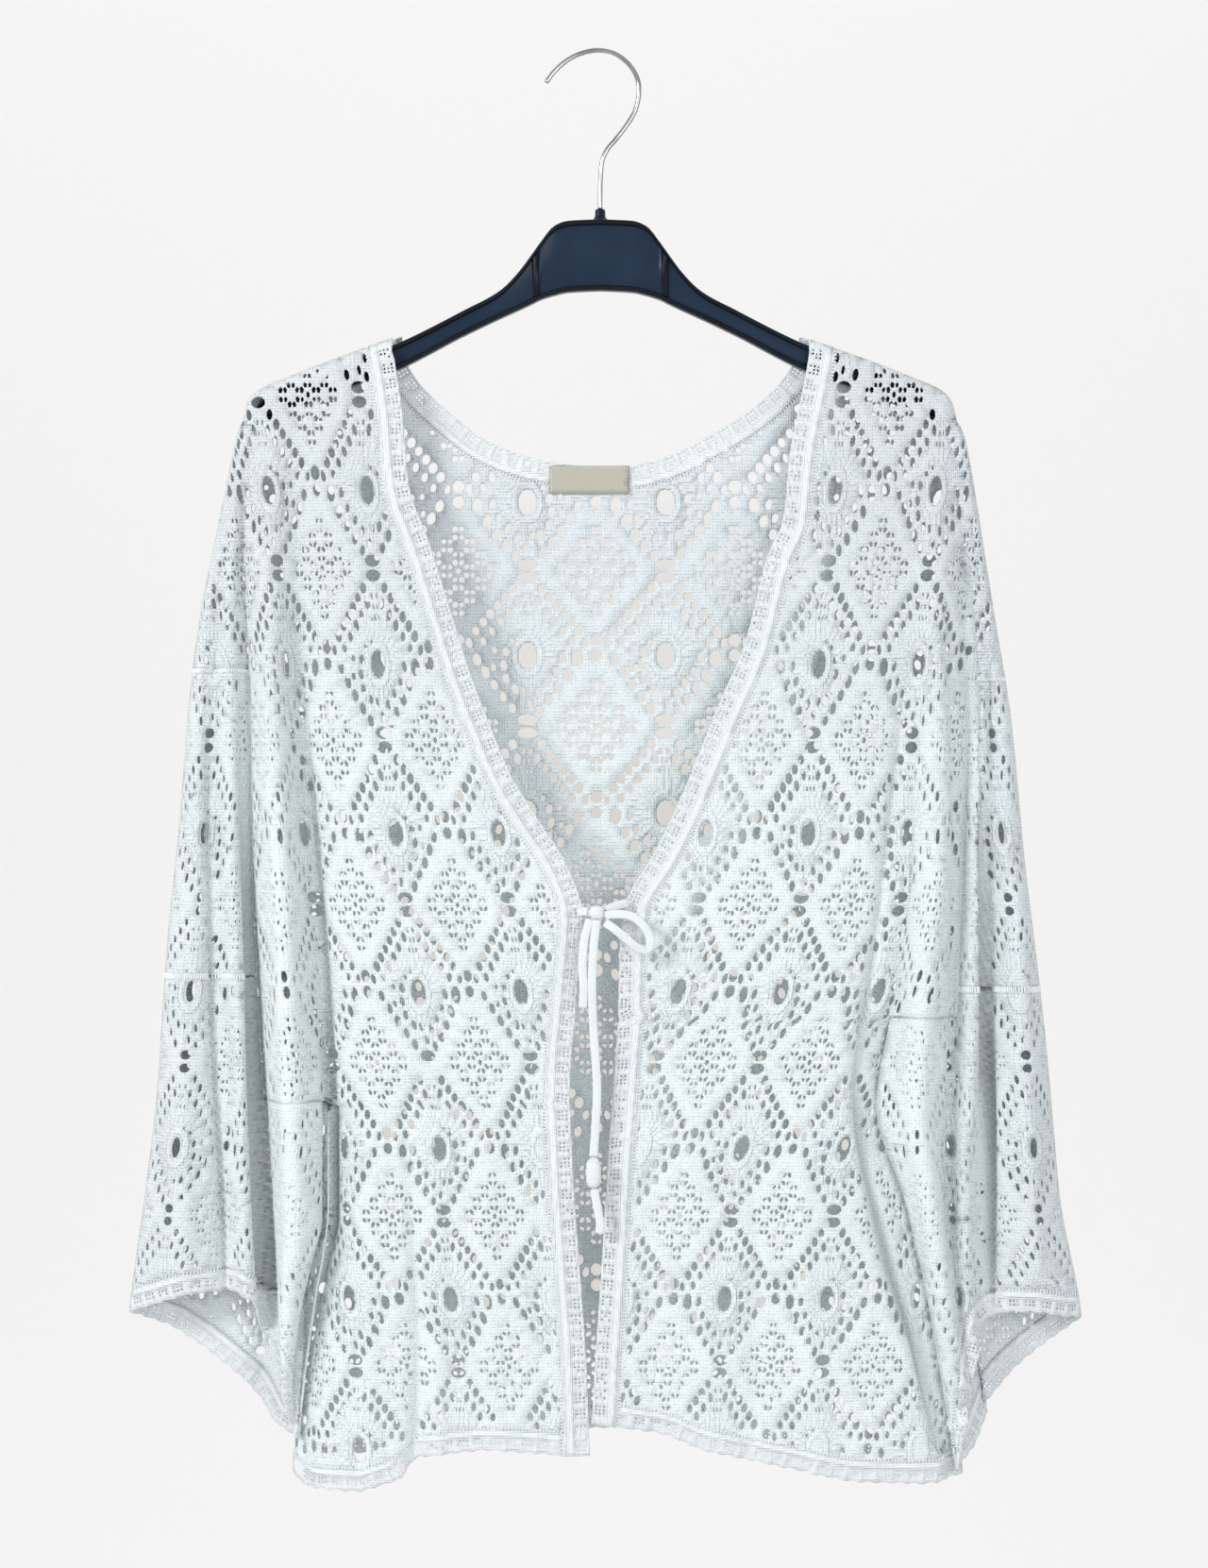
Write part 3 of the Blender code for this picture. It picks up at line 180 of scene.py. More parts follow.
# Soft creases, each a line of x, z, half width and height out of the cloth (below 0 is a trough)
LEFT_CREASES = (
    ((-217, -372, 3, 0), (-214, -470, 3.6, -5), (-210, -560, 4.2, -8), (-206, -650, 5.4, -11),
     (-202, -730, 6, -12), (-198, -790, 6, -10), (-193, -848, 4, -3)),
    ((-237, -372, 3, 0), (-236, -480, 3.2, -4), (-233, -600, 3.6, -6), (-228, -700, 4, -7), (-226, -772, 4, -4)),
    ((-181, -360, 3, 0), (-173, -470, 3.6, -4.5), (-166, -560, 4, -6), (-161.5, -650, 4.6, -8),
     (-161.5, -715, 4.6, -9), (-172, -757, 5, -9), (-180, -800, 5, -7), (-185, -852, 4, -3)),
    ((-197, -380, 9, 0), (-190, -500, 10, 2.4), (-185, -650, 10, 3.6), (-184, -730, 9, 3.6), (-190, -800, 6, 2)),
    ((-258, -420, 9, 0), (-256, -560, 10, 1.8), (-250, -740, 12, 2.6)),
)
RIGHT_CREASES = (
    ((192, -350, 5, 0), (180, -450, 5, -4), (167, -560, 6, -4.5), (158, -630, 6, -6), (166, -685, 8, -8),
     (181, -742, 10, -10), (197, -792, 8, -8), (207, -846, 6, -4)),
    ((212, -300, 2.6, 0), (214, -380, 2.8, -2.4), (218, -480, 2.8, -2.4), (216, -600, 2.8, -2), (213, -700, 3, -2),
     (214, -752, 3, -1)),
    ((221, -275, 3, 0), (226, -330, 3.4, -5), (232, -420, 4, -8), (237, -520, 4.6, -11), (238.5, -640, 4.8, -12),
     (239, -720, 5, -12), (241, -776, 5, -7)),
    ((197, -380, 8, 0), (196, -500, 10, 3), (193, -640, 12, 4), (205, -720, 9, 3), (216, -786, 6, 2)),
    ((252, -400, 8, 0), (258, -560, 9, 2), (266, -740, 10, 2.6)),
    ((206, -804, 4, 0), (220, -811, 4, 3), (238, -806, 4, 0)),
    ((202, -830, 4, 0), (218, -838, 4, 3.4), (234, -830, 4, 0)),
    ((208, -816, 3.4, 0), (222, -825, 3.4, -4), (238, -818, 3.4, 0)),
    ((198, -846, 3.4, 0), (214, -854, 3.4, -3.4), (230, -848, 3.4, 0)),
)
BODY_CREASES = (
    ((-113, -600, 6, 0), (-113, -700, 5, -3.2), (-109, -770, 6, -5), (-111, -872, 7, -6)),
    ((-99, -640, 7, 0), (-96, -760, 8, 3), (-96, -872, 9, 3.4)),
    ((-134, -600, 9, 0), (-138, -740, 10, 2.2), (-137, -870, 10, 1.6)),
    ((-60, -560, 12, 0), (-66, -700, 14, 1.8), (-60, -872, 14, 1.6)),
    ((62, -560, 12, 0), (60, -700, 14, 2.2), (70, -868, 14, 2)),
    ((92, -600, 10, 0), (97, -740, 10, -3), (94, -868, 10, -2.4)),
    ((120, -590, 10, 0), (124, -720, 11, 2.8), (134, -868, 10, 2.4)),
    ((-100, -410, 9, 0), (-70, -470, 10, 1.6), (-36, -530, 9, 0)),
    ((100, -410, 9, 0), (74, -470, 10, 1.8), (38, -530, 9, 0)),
    ((-30, -560, 8, 0), (-34, -700, 9, -1.6), (-30, -860, 9, -1.4)),
    ((34, -580, 8, 0), (32, -720, 9, -1.8), (38, -860, 9, -1.6)),
)
BACK_CREASES = (
    ((-118, -470, 14, 0), (-122, -640, 16, 3), (-128, -860, 16, 3.4)),
    ((-92, -560, 10, 0), (-94, -700, 11, -2.8), (-98, -860, 10, -3)),
    ((-38, -430, 18, 0), (-34, -640, 20, 2.2), (-36, -860, 18, 2.6)),
    ((6, -520, 12, 0), (10, -700, 12, -2.4), (8, -860, 12, -2.8)),
    ((50, -450, 16, 0), (52, -640, 18, 2.2), (58, -860, 16, 2.6)),
    ((100, -540, 10, 0), (104, -700, 10, -2.6), (112, -860, 10, -3)),
    ((130, -480, 14, 0), (136, -660, 15, 2.8), (146, -860, 14, 3)),
    ((-200, -300, 8, 0), (-222, -480, 9, -3), (-226, -760, 9, -4)),
    ((206, -300, 8, 0), (232, -480, 9, -3), (242, -760, 9, -4)),
)
# Where the cloth is bunched, its holes narrow: x, z, half width and how much
LEFT_BUNCHED = (
    ((-200, -320, 17, 0), (-195, -400, 19, 1), (-188, -560, 22, 1), (-183, -700, 22, 1), (-184, -800, 20, 1)),
    ((-240, -400, 8, 0), (-237, -560, 11, 0.8), (-232, -760, 12, 0.8)),
)
RIGHT_BUNCHED = (
    ((208, -320, 14, 0), (206, -420, 18, 1), (200, -560, 22, 1), (194, -650, 22, 1), (204, -740, 20, 1),
     (216, -850, 14, 1)),
    ((226, -380, 8, 0), (228, -500, 10, 1), (228, -740, 11, 1)),
)
# No hole is cut in a trough deeper than this. Where the cloth is bunched by more than the
# first number, its holes are the second as wide
TROUGH = -3.4
BUNCHED = (0.45, 0.5)
# How fast a crease fades sideways, how deep one needs finer points, and how much finer
CREASE_FADE = 2.2
FINE_FROM = 1.5
FINER = 0.42
# Points of the mesh: cloth, band and label, the height of a row of them, and room at an edge and a hole
CLOTH_MESH = 7.0
BAND_MESH = 5.0
LABEL_MESH = 4.0
MESH_ROW = 0.87
EDGE_ROOM = 0.4
HOLE_ROOM = 0.45
# The squares that points are sorted into to find a near hole, and how near a large hole a point is looked at
SORTING = 4.0
BESIDE_HOLE = 12
# A piece that fills less than this of its box is a bent band, so its size is read from its edge and area
BENT_BAND = 0.4
# What the cloth hangs on, and the height of each row of ovals
OVAL_ROWS = (-162, -268, -374, -477, -573, -668, -759, -850)
BACK_OVAL_ROWS = (-177, -274, -368, -465, -562, -659, -756, -853)

# Points between two folds, and half the gap of a seam
STEPS = 8
HALF_GAP = SEAM_GAP / 2
# Fine sewing: from stitch to stitch, across the seam, the yarn's width; and its lift out of the cloth
FINE_SEWING = {"spacing": 2.1, "across": 2.4, "thread": 0.8}
STITCH_BEAD = (("Segments", 6), ("Rings", 4), ("Radius", 0.5))
TIER_SEWING = {"across": 4.6, "thread": 1.15}
LABEL_SEWING = {"spacing": 2.0, "across": 1.4, "thread": 0.45, "lean": math.radians(80)}
BAND_LIFT = 0.75
ARMHOLE_LIFT = 0.5
TIER_LIFT = 0.7
# How much of a crease each fold keeps, and the places of three of them in the list
FOLD_CREASE = (0.0, 0.0, 0.15, 0.0, 0.7, 0.0, 0.6)
ARMHOLE = 4
ROLL = 5
INNER = 6
BACK_RIDGE = 15.0
BACK_RIDGE_WIDER = 1.4
DROP_POINT = 3.0
UNDERARM_RISE = 3.2
SLEEVE_ABOVE_UNDERARM = 288
# Where the shoulder line ends, where each hem starts at its side, and the points along it
SIDE_TOP = -240
FRONT_HEM_START = -860
BACK_HEM_START = (-858, -862)
HEM_POINTS = 28
BACK_HEM_POINTS = 38
TOP = -172
BOTTOM = -884

# Fold lines of the front, from the outer edge of the sleeve to the body.
# z, x of the edge, valley, armhole groove and body groove, then y of the first
# ridge, valley, second ridge, armhole groove, roll and body groove
LEFT_FOLDS = (
    (-178, -214, -211, -206, -186, -8, -8, -8, -8.5, -8.5, -8.5),
    (-213, -215, -212, -207, -186, -8, -8, -8.5, -8.5, -9, -9),
    (-240, -221, -217, -211, -185, -8.5, -8, -9.5, -8, -12, -9),
    (-290, -231, -224, -216, -183, -9, -8, -11, -5, -17, -8),
    (-350, -243, -231, -214, -182, -11, -8, -14, -4, -22, -8),
    (-400, -249, -232, -212, -181, -13, -8, -16, -3, -25, -7),
    (-494, -256, -230, -211, -174, -14, -8, -17, -3, -28, -7),
    (-565, -263, -228, -208, -168, -15, -8, -18, -3, -28, -7),
    (-643, -269, -226, -204, -163, -16, -8, -19, -4, -28, -8),
    (-700, -276, -226, -201, -163, -17, -8, -19, -5, -29, -12),
    (-767, -285, -224, -200, -172, -15, -8, -17, -8, -25, -13),
    (-803, -288, -227, -205, -177, -12, -8, -14, -10, -20, -12),
    (-850, -290, -231, -208, -182, -10, -8, -12, -10, -16, -12),
)
RIGHT_FOLDS = (
    (-178, 218, 215, 210, 190, -8, -8, -8, -8.5, -8.5, -8.5),
    (-213, 219, 216, 212, 191, -8, -8, -8.5, -8.5, -9, -9),
    (-240, 226, 222, 216, 191, -8.5, -8, -9.5, -8, -12, -10),
    (-300, 236, 230, 223, 191, -9, -8, -11, -7, -17, -12),
    (-350, 244, 236, 224, 190, -11, -9, -13, -7, -20, -14),
    (-406, 253, 240, 226, 190, -13, -8, -16, -6, -23, -14),
    (-494, 261, 241, 223, 192, -16, -7, -18, -6, -26, -13),
    (-548, 268, 241, 221, 186, -17, -7, -18, -6, -27, -11),
    (-601, 274, 239, 219, 177, -18, -7, -18, -6, -28, -8),
    (-644, 278, 236, 217, 171, -19, -7, -18, -7, -28, -11),
    (-700, 283, 233, 215, 188, -19, -8, -18, -8, -26, -13),
    (-772, 296, 235, 221, 204, -16, -9, -16, -11, -20, -13),
    (-820, 299, 243, 229, 212, -12, -9, -14, -11, -17, -12),
    (-868, 301, 248, 235, 220, -10, -9, -12, -10, -15, -12),
)
# z, x of the line that lace is measured from, x of the side seam, y of the front
# near the side and at the middle, y of the back near the side and at the middle
LEFT_BODY = (
    (-178, -186, -186, -9, -9, 9, 9),
    (-240, -185, -185, -12, -11, 12, 11),
    (-290, -183, -183, -15, -13, 14, 13),
    (-350, -182, -182, -18, -15, 16, 15),
    (-494, -174, -174, -22, -20, 19, 17),
    (-643, -159, -165.5, -23, -21, 19, 18),
    (-662, -159, -165.8, -23, -21, 19, 18),
    (-684, -159, -166, -23, -22, 18, 18),
    (-720, -159, -166, -23, -22, 18, 18),
    (-767, -160, -173.5, -22, -23, 17, 18),
    (-803, -161, -180.5, -21, -23, 16, 18),
    (-850, -162, -185, -20, -24, 16, 18),
    (-880, -162, -185.5, -20, -24, 16, 18),
)
RIGHT_BODY = (
    (-178, 190, 190, -9, -9, 9, 9),
    (-240, 191, 191, -12, -11, 12, 11),
    (-300, 191, 191, -16, -13, 15, 13),
    (-406, 190, 190, -20, -17, 18, 16),
    (-494, 192, 192, -22, -20, 19, 17),
    (-592, 173, 181, -23, -21, 19, 18),
    (-612, 170, 178.5, -23, -21, 19, 18),
    (-644, 167, 177, -23, -22, 18, 18),
    (-700, 167, 190, -22, -22, 17, 18),
    (-772, 168, 208, -21, -23, 16, 18),
    (-820, 169, 216.5, -20, -23, 15, 18),
    (-868, 170, 223.5, -19, -24, 14, 18),
    (-880, 170, 224, -19, -24, 14, 18),
)
SIDE_RIDGE_INWARD = 32.0
# How far in the side turns, where the front's middle lies, and where a section runs on to
SIDE_TURN = 9
FRONT_MIDDLE = 12.0
RUN_ON = 40.0
# The back of a sleeve fills out from this height, over this much
BACK_FILLS = (-215, 200.0)
BACK_PULLED_FROM = -300
# A sleeve's inner fold on its back: how far down it opens, and its turns out from the fold
INNER_OPENS = 14.0
INNER_TURNS = (9, 26)

# x, z of the shoulder line, from the neck out to the tip and down
LEFT_SHOULDER = (
    (-120, -173), (-129, -176), (-162, -188), (-190, -199), (-206, -206), (-213, -213), (-216, -226),
)
RIGHT_SHOULDER = (
    (124, -173), (132, -176), (166, -188), (194, -199), (210, -206), (217, -213), (220, -226),
)

# x, z of each front's free edge, from the shoulder to the hem
LEFT_FRONT_EDGE = (
    (-125, -176), (-118, -222), (-114, -265), (-102, -299), (-88, -343), (-76, -381),
    (-63, -415), (-51, -443), (-38, -464), (-16, -500), (-8, -527), (-12, -580),
    (-16, -631), (-14, -683), (-10, -741), (-6, -799), (-4, -853),
)
RIGHT_FRONT_EDGE = (
    (131, -176), (129, -189), (118, -245), (113, -288), (105, -306), (88, -368), (79, -388),
    (66, -419), (56, -444), (36, -487), (18, -519), (14, -546), (13, -587), (10, -632),
    (7, -672), (3, -741), (-1, -799), (-3, -838),
)
BACK_NECK_EDGE = (
    (-123, -176), (-111, -198), (-90, -219), (-64, -238), (-28, -249), (4, -252),
    (21, -252), (43, -246), (69, -233), (96, -216), (113, -200), (129, -176),
)
# x, z of the lower edges
LEFT_HEM = (
    (-185, -866), (-178, -875), (-143, -876), (-118, -868), (-110, -855), (-66, -850), (-17, -854),
    (0, -853),
)
RIGHT_HEM = (
    (-6, -834), (24, -838), (42, -841), (63, -850), (94, -857), (123, -863), (155, -870),
    (205, -872), (223, -868),
)
BACK_HEM = (
    (-185, -858), (-120, -860), (-40, -846), (40, -842), (120, -856), (185, -864), (223, -862),
)

# The lower edge of each sleeve as fraction of the way from the outer edge to the
# underarm, then z, for the front half and for the back half
LEFT_CUFF_FRONT = (
    (0.0, -770), (0.12, -765), (0.3, -757), (0.5, -756), (0.62, -762), (0.8, -800), (1.0, -846),
)
LEFT_CUFF_BACK = ((0.0, -770), (0.22, -780), (0.42, -795), (0.6, -812), (0.8, -838), (1.0, -846))
RIGHT_CUFF_FRONT = (
    (0.0, -773), (0.12, -772), (0.3, -768), (0.5, -768), (0.62, -776), (0.8, -816), (1.0, -865),
)
RIGHT_CUFF_BACK = ((0.0, -773), (0.22, -790), (0.42, -806), (0.6, -826), (0.8, -852), (1.0, -865))

LEFT = {
    "creases": LEFT_CREASES,
    "bunched": LEFT_BUNCHED,
    "name": "left",
    "sign": -1,
    "folds": LEFT_FOLDS,
    "body": LEFT_BODY,
    "shoulder": LEFT_SHOULDER,
    "front_edge": LEFT_FRONT_EDGE,
    "hem": LEFT_HEM,
    "cuff_front": LEFT_CUFF_FRONT,
    "cuff_back": LEFT_CUFF_BACK,
    "drop_seam": -378,
    "tier_seam": -564,
    "underarm": -643,
    "back_armhole": (-246, -168),
    "first_oval": 45.0,
    "lean": 0.062,
}
RIGHT = {
    "creases": RIGHT_CREASES,
    "bunched": RIGHT_BUNCHED,
    "name": "right",
    "sign": 1,
    "folds": RIGHT_FOLDS,
    "body": RIGHT_BODY,
    "shoulder": RIGHT_SHOULDER,
    "front_edge": RIGHT_FRONT_EDGE,
    "hem": RIGHT_HEM,
    "cuff_front": RIGHT_CUFF_FRONT,
    "cuff_back": RIGHT_CUFF_BACK,
    "drop_seam": -383,
    "tier_seam": -572,
    "underarm": -592,
    "back_armhole": (250, 186),
    "first_oval": 46.0,
    "lean": 0.09,
}
SIDES = (LEFT, RIGHT)

# Hanger outline as distance from its middle, z of the top edge and of the bottom edge
HANGER_SECTIONS = (
    (0, -102, -145.4), (20, -103, -146.5), (28, -106, -148.3), (36.5, -116, -151),
    (41.5, -123, -153.5), (50, -134.4, -157.5), (61, -145.4, -162.5), (83, -157.5, -173),
    (125, -178.4, -194.4), (164, -193.4, -208), (192, -204.4, -220), (203, -209.4, -225),
    (207.5, -213, -224), (209.5, -216, -221),
)
RIB_AT = (38.0, 41.0)
HANGER_STEP = 2.5
HANGER_SKIN = 0.8
# x, z down the hook's wire, from its free tip over the top to the collar
HOOK_ROUTE = (
    (-30.7, -17.9), (-26, -11.5), (-19, -5.2), (-10.5, -0.6), (0.2, 1.7), (11, -0.2), (20, -7),
    (25.2, -16), (25.9, -26), (23.4, -35.8), (18.5, -44), (12, -52.5), (6.6, -59), (3.6, -66),
    (2.6, -75.9), (2.3, -86), (2.3, -95.4),
)
# x, y, z of the tie's stretches
TIE_ROOT_LEFT = ((-11.5, -23.8, -524.5), (-8, -25.6, -524), (-5.1, -27.2, -524.2))
TIE_ROOT_RIGHT = ((19.5, -23.8, -519), (14, -25.6, -520), (9, -27, -521.8), (5.4, -27.8, -523.4))
TIE_LOOP = (
    (5.4, -30.4, -526.4), (12, -32.5, -525.4), (21, -33, -526.5), (28.5, -33.6, -532.5),
    (32.4, -33.8, -540.5), (30.8, -34.2, -546.5), (25, -35.2, -545.6), (17.6, -36, -539.6),
    (10.6, -35.4, -534), (5.2, -33.4, -530.4),
)
TIE_LONG = (
    (0.4, -29.8, -529.2), (-1.6, -31, -545), (-2.6, -31.2, -570), (-1.4, -31, -600),
    (0.4, -30.8, -630), (-0.6, -31, -655), (-1.8, -31, -671.6),
)
TIE_SHORT = (
    (-4, -29.4, -528.6), (-7, -30.4, -540), (-8.4, -30.8, -556), (-7.6, -31, -570), (-8.2, -31, -582),
)
TIE_TAIL = ((-1.4, -31, -691.4), (0.6, -31.2, -702), (2.2, -31, -712), (1.6, -31, -718))

# The boss round the hook's wire: radius and z of its rings, and points round it
BOSS_RINGS = (
    (2.4, -95.6), (2.9, -95.9), (3.2, -96.6), (3.2, -99.3), (3.5, -100.4), (4.1, -101.2), (4.4, -101.6),
)
BOSS_AROUND = 36
# The tie strap's width and thickness; the knots' middle, size and number of wraps
STRAP = (5.2, 1.5)
STRAP_SQUARENESS = 0.6
SHORT_CORD = 0.036
KNOT = ((0.2, -28.4, -524.6), (9.6, 8.4, 8.6), 1.6)
END_KNOT = ((-1.8, -31, -681.4), (9.5, 8.0, 19.0), 3.2)
# A knot's squareness, the lean of its wraps and how deep they press in
KNOT_SQUARENESS = 2.6
WRAP_LEAN = 1.7
WRAP_PRESS = 0.1

# name and route; the strap's flat side faces the front
TIE_STRAPS = (
    ("tie_root_left", TIE_ROOT_LEFT),
    ("tie_root_right", TIE_ROOT_RIGHT),
    ("tie_loop", TIE_LOOP),
    ("tie_long", TIE_LONG),
    ("tie_short", TIE_SHORT),
    ("tie_tail", TIE_TAIL),
)

# Colours
LACE_LIGHT = (0.845, 0.92, 0.935)
LACE_SHADE = (0.68, 0.76, 0.785)
BAND_LIGHT = (0.845, 0.895, 0.915)
BAND_SHADE = (0.68, 0.73, 0.76)
LABEL_LIGHT = (0.45, 0.435, 0.37)
LABEL_SHADE = (0.39, 0.375, 0.31)
PLASTIC_DARK = (0.003, 0.004, 0.006)
PLASTIC_BLUE = (0.009, 0.024, 0.052)
# The hanger's web, as a distance from its middle in metres
WEB_PART = (-1.0, -0.5, 0.0024, 0.0034)
WIRE_LIGHT = (0.46, 0.46, 0.47)
WIRE_DULL = (0.26, 0.26, 0.27)
WALL_LIGHT = (0.93, 0.93, 0.93)
# The colour of the soft shadow painted on the wall behind the garment
WALL_PAINTED_SHADOW = (0.66, 0.63, 0.58)
# Shade painted on the cloth: darker deep in its folds, and over its shoulders and outer sleeves
PAINTED_FOLD_SHADE = (0.40, 0.42, 0.41)
PAINTED_UPPER_SHADE = (0.64, 0.69, 0.73)
# Where this painted shade comes in: depth of a fold, then height and distance to the side, in metres
PAINTED_FOLD_SHADE_DEPTHS = (1.5, 9.0, 90.0, 99.0)
PAINTED_UPPER_SHADE_PART = (-0.52, -0.26, 1.0, 2.0)
PAINTED_OUTER_SHADE_PART = (0.185, 0.245, 1.0, 2.0)
# The ring round an oval, the pleats that fan out from it, and the shade painted into the pleats' troughs
RING = (8.2, 11.4)
RING_RIM = (0.55, 0.85, 1.05, 1.35)
PLEATS = 26.0
PLEAT_REACH = (1.1, 1.35, 2.6, 3.2)
PLEAT_PAINTED_SHADE = (0.50, 0.55, 0.56)
# How far light goes into the cloth
LIGHT_REACH = 3.0
# From wale to wale in millimetres, and the height of the knit in metres
LACE_KNIT = (1.5, 0.0005)
BAND_KNIT = (1.1, 0.0004)
STRAP_KNIT = (0.9, 0.0003)
# Heights of the finer forms, in metres
PLEAT_TALL = 0.0009
SQUARE_TALL = 0.0007
YARN_TALL = 0.0002
WEAVE_TALL = 0.00012
PLASTIC_TALL = 0.00004
WIRE_TALL = 0.000002

# Room: the soft shadows painted on the wall behind the garment (x, z, half sizes, softness, depth), lamps, sky and
# camera, in metres
WALL_Y = 4.6
FLOOR_Z = -3.4
WALL_PAINTED_SHADOWS = (
    (0.02, -0.33, 0.36, 0.40, 0.30, 0.5),
    (0.02, -0.93, 0.48, 0.57, 0.12, 0.8),
)
LAMPS = (
    ("key", (-2.2, -2.0, 0.7), (0, 0, -0.5), (0.9, 0.9), 60, (1.0, 0.99, 0.97)),
    ("fill", (1.3, -2.8, -0.3), (0, 0, -0.5), (1.6, 1.6), 30, (0.97, 0.98, 1.0)),
    ("back_fill", (0.6, 2.2, 0.8), (0, 0, -0.45), (1.6, 1.6), 14, (1.0, 0.99, 0.97)),
    ("wall_wash", (0, 2.4, 3.6), (0, 4.6, -0.8), (7.0, 1.2), 42, (1.0, 1.0, 1.0)),
    ("wall_wash_low", (0, 2.4, -3.0), (0, 4.6, -1.0), (7.0, 1.0), 12, (1.0, 1.0, 1.0)),
)
SKY = ((1.0, 1.0, 1.0), 0.66)
CAMERA_AIM = (0.0046, 0, -0.447)
CAMERA_BACK = 2.2
FRAME_WIDE = 0.739
SENSOR = 36.0


def read(table, column, z):
    """A column of a table whose first column is z, read smoothly at any height."""
    return smooth([-row[0] for row in table], [row[column] for row in table], -z)


def smooth(at, values, t):
    """Monotone cubic through the values, flat past the ends."""
    at, values = np.asarray(at, float), np.asarray(values, float)
    if t <= at[0]:
        return values[0]
    if t >= at[-1]:
        return values[-1]
    gap, rise = np.diff(at), np.diff(values) / np.diff(at)
    slope = np.zeros(len(at))
    slope[0], slope[-1] = rise[0], rise[-1]
    for i in range(1, len(at) - 1):
        if rise[i - 1] * rise[i] > 0:
            near, far = 2 * gap[i] + gap[i - 1], gap[i] + 2 * gap[i - 1]
            slope[i] = (near + far) / (near / rise[i - 1] + far / rise[i])
    i = int(np.searchsorted(at, t)) - 1
    h, s = gap[i], (t - at[i]) / gap[i]
    return (
        values[i] * (1 + 2 * s) * (1 - s) ** 2
        + values[i + 1] * s * s * (3 - 2 * s)
        + h * slope[i] * s * (1 - s) ** 2
        + h * slope[i + 1] * s * s * (s - 1)
    )


def run_along(line):
    """How far along a line each of its points lies."""
    return np.concatenate([[0], np.cumsum(np.linalg.norm(np.diff(line, axis=0), axis=1))])


def unit(ways):
    """Directions brought to a length of 1."""
    return ways / np.maximum(np.linalg.norm(ways, axis=1, keepdims=True), 1e-9)


def along(points, x):
    """z of an edge given as (x, z) points, at x."""
    ordered = sorted(points)
    return float(np.interp(x, [p[0] for p in ordered], [p[1] for p in ordered]))


def bend(points, sharp, before, after):
    """A smooth section through fold points. A sharp fold keeps its crease."""
    chain = np.array([before, *points, after], float)
    ease = [0.5 * (1 - s) for s in sharp]
    s = np.linspace(0, 1, STEPS, endpoint=False)[:, None]
    line = []
    for i in range(len(points) - 1):
        a, b = chain[i + 1], chain[i + 2]
        leave, reach = ease[i] * (b - chain[i]), ease[i + 1] * (chain[i + 3] - a)
        line.append(
            a * (1 + 2 * s) * (1 - s) ** 2
            + b * s * s * (3 - 2 * s)
            + leave * s * (1 - s) ** 2
            + reach * s * s * (s - 1)
        )
    return np.vstack([*line, chain[-2]])


class Drape:
    """Hung cloth: a section at each height, read by its length from a fixed line."""

    def __init__(self, section, top, bottom, sides, half, creases=(), bunched=(), step=3.0):
        self.half, self.sides, self.step, self.creases, self.bunched = half, sides, step, creases, bunched
        self.heights = np.arange(top, bottom - step, -step)
        rows = [self.measured(*section(z)) for z in self.heights]
        self.rows = rows
        self.at = np.arange(min(r[0][0] for r in rows) - 1, max(r[0][-1] for r in rows) + 2, 1.0)
        self.x, self.y = (np.array([np.interp(self.at, r[0], r[k]) for r in rows]) for k in (1, 2))

    @staticmethod
    def measured(line, start):
        length = run_along(line)
        return length - np.interp(start, np.arange(len(line)), length), line[:, 0], line[:, 1]

    def between(self, z):
        place = min(max((self.heights[0] - z) / self.step, 0), len(self.rows) - 1.001)
        return self.rows[int(place)], self.rows[int(place) + 1], place % 1

    def places(self, flat):
        """Points in space of (length, z) points of the cloth."""
        length, z = np.asarray(flat, float).reshape(-1, 2).T
        row = np.clip((self.heights[0] - z) / self.step, 0, len(self.heights) - 1.001)
        column = np.clip(length - self.at[0], 0, len(self.at) - 1.001)
        i, j = row.astype(int), column.astype(int)
        p, q = row - i, column - j
        x, y = (
            (1 - p) * ((1 - q) * grid[i, j] + q * grid[i, j + 1])
            + p * ((1 - q) * grid[i + 1, j] + q * grid[i + 1, j + 1])
            for grid in (self.x, self.y)
        )
        for side in self.sides:
            edge = sorted(side["shoulder"])
            below = np.interp(x, [e[0] for e in edge], [e[1] for e in edge]) - z
            wrap = np.sqrt(np.clip(1 - (1 - np.clip(below, 0, ARM_WRAP) / ARM_WRAP) ** 2, 0, 1))
            y = np.where(x * side["sign"] > 0, y * wrap, y)
        return np.stack([x, y, z], axis=1)

    def outward(self, flat, reach=2.0):
        """The way straight out of the cloth at these points."""
        flat = np.asarray(flat, float).reshape(-1, 2)
        across = self.places(flat + (reach, 0)) - self.places(flat - (reach, 0))
        over, under = flat + (0, reach), flat - (0, reach)
        for side in self.sides:
            last, arm = side["underarm"] + self.step, side["underarm"]
            under[:, 1] = np.where(flat[:, 1] >= last, np.maximum(under[:, 1], last), under[:, 1])
            over[:, 1] = np.where(flat[:, 1] <= arm, np.minimum(over[:, 1], arm), over[:, 1])
        rise = self.places(over) - self.places(under)
        return unit(np.cross(across, rise))

    def point(self, length, z):
        return self.places([(length, z)])[0]

    def ends(self, z):
        upper, lower, part = self.between(z)
        return tuple((1 - part) * upper[0][k] + part * lower[0][k] for k in (0, -1))

    def length(self, x, z):
        """How far along its section the cloth passes x."""
        upper, lower, part = self.between(z)
        found = []
        for row in (upper, lower):
            order = 1 if row[1][-1] > row[1][0] else -1
            found.append(np.interp(x, row[1][::order], row[0][::order]))
        return (1 - part) * found[0] + part * found[1]


def creased(place, way, creases):
    """The cloth's points moved out or in by its creases."""
    return place + way * crease_shift(place, creases)[:, None]


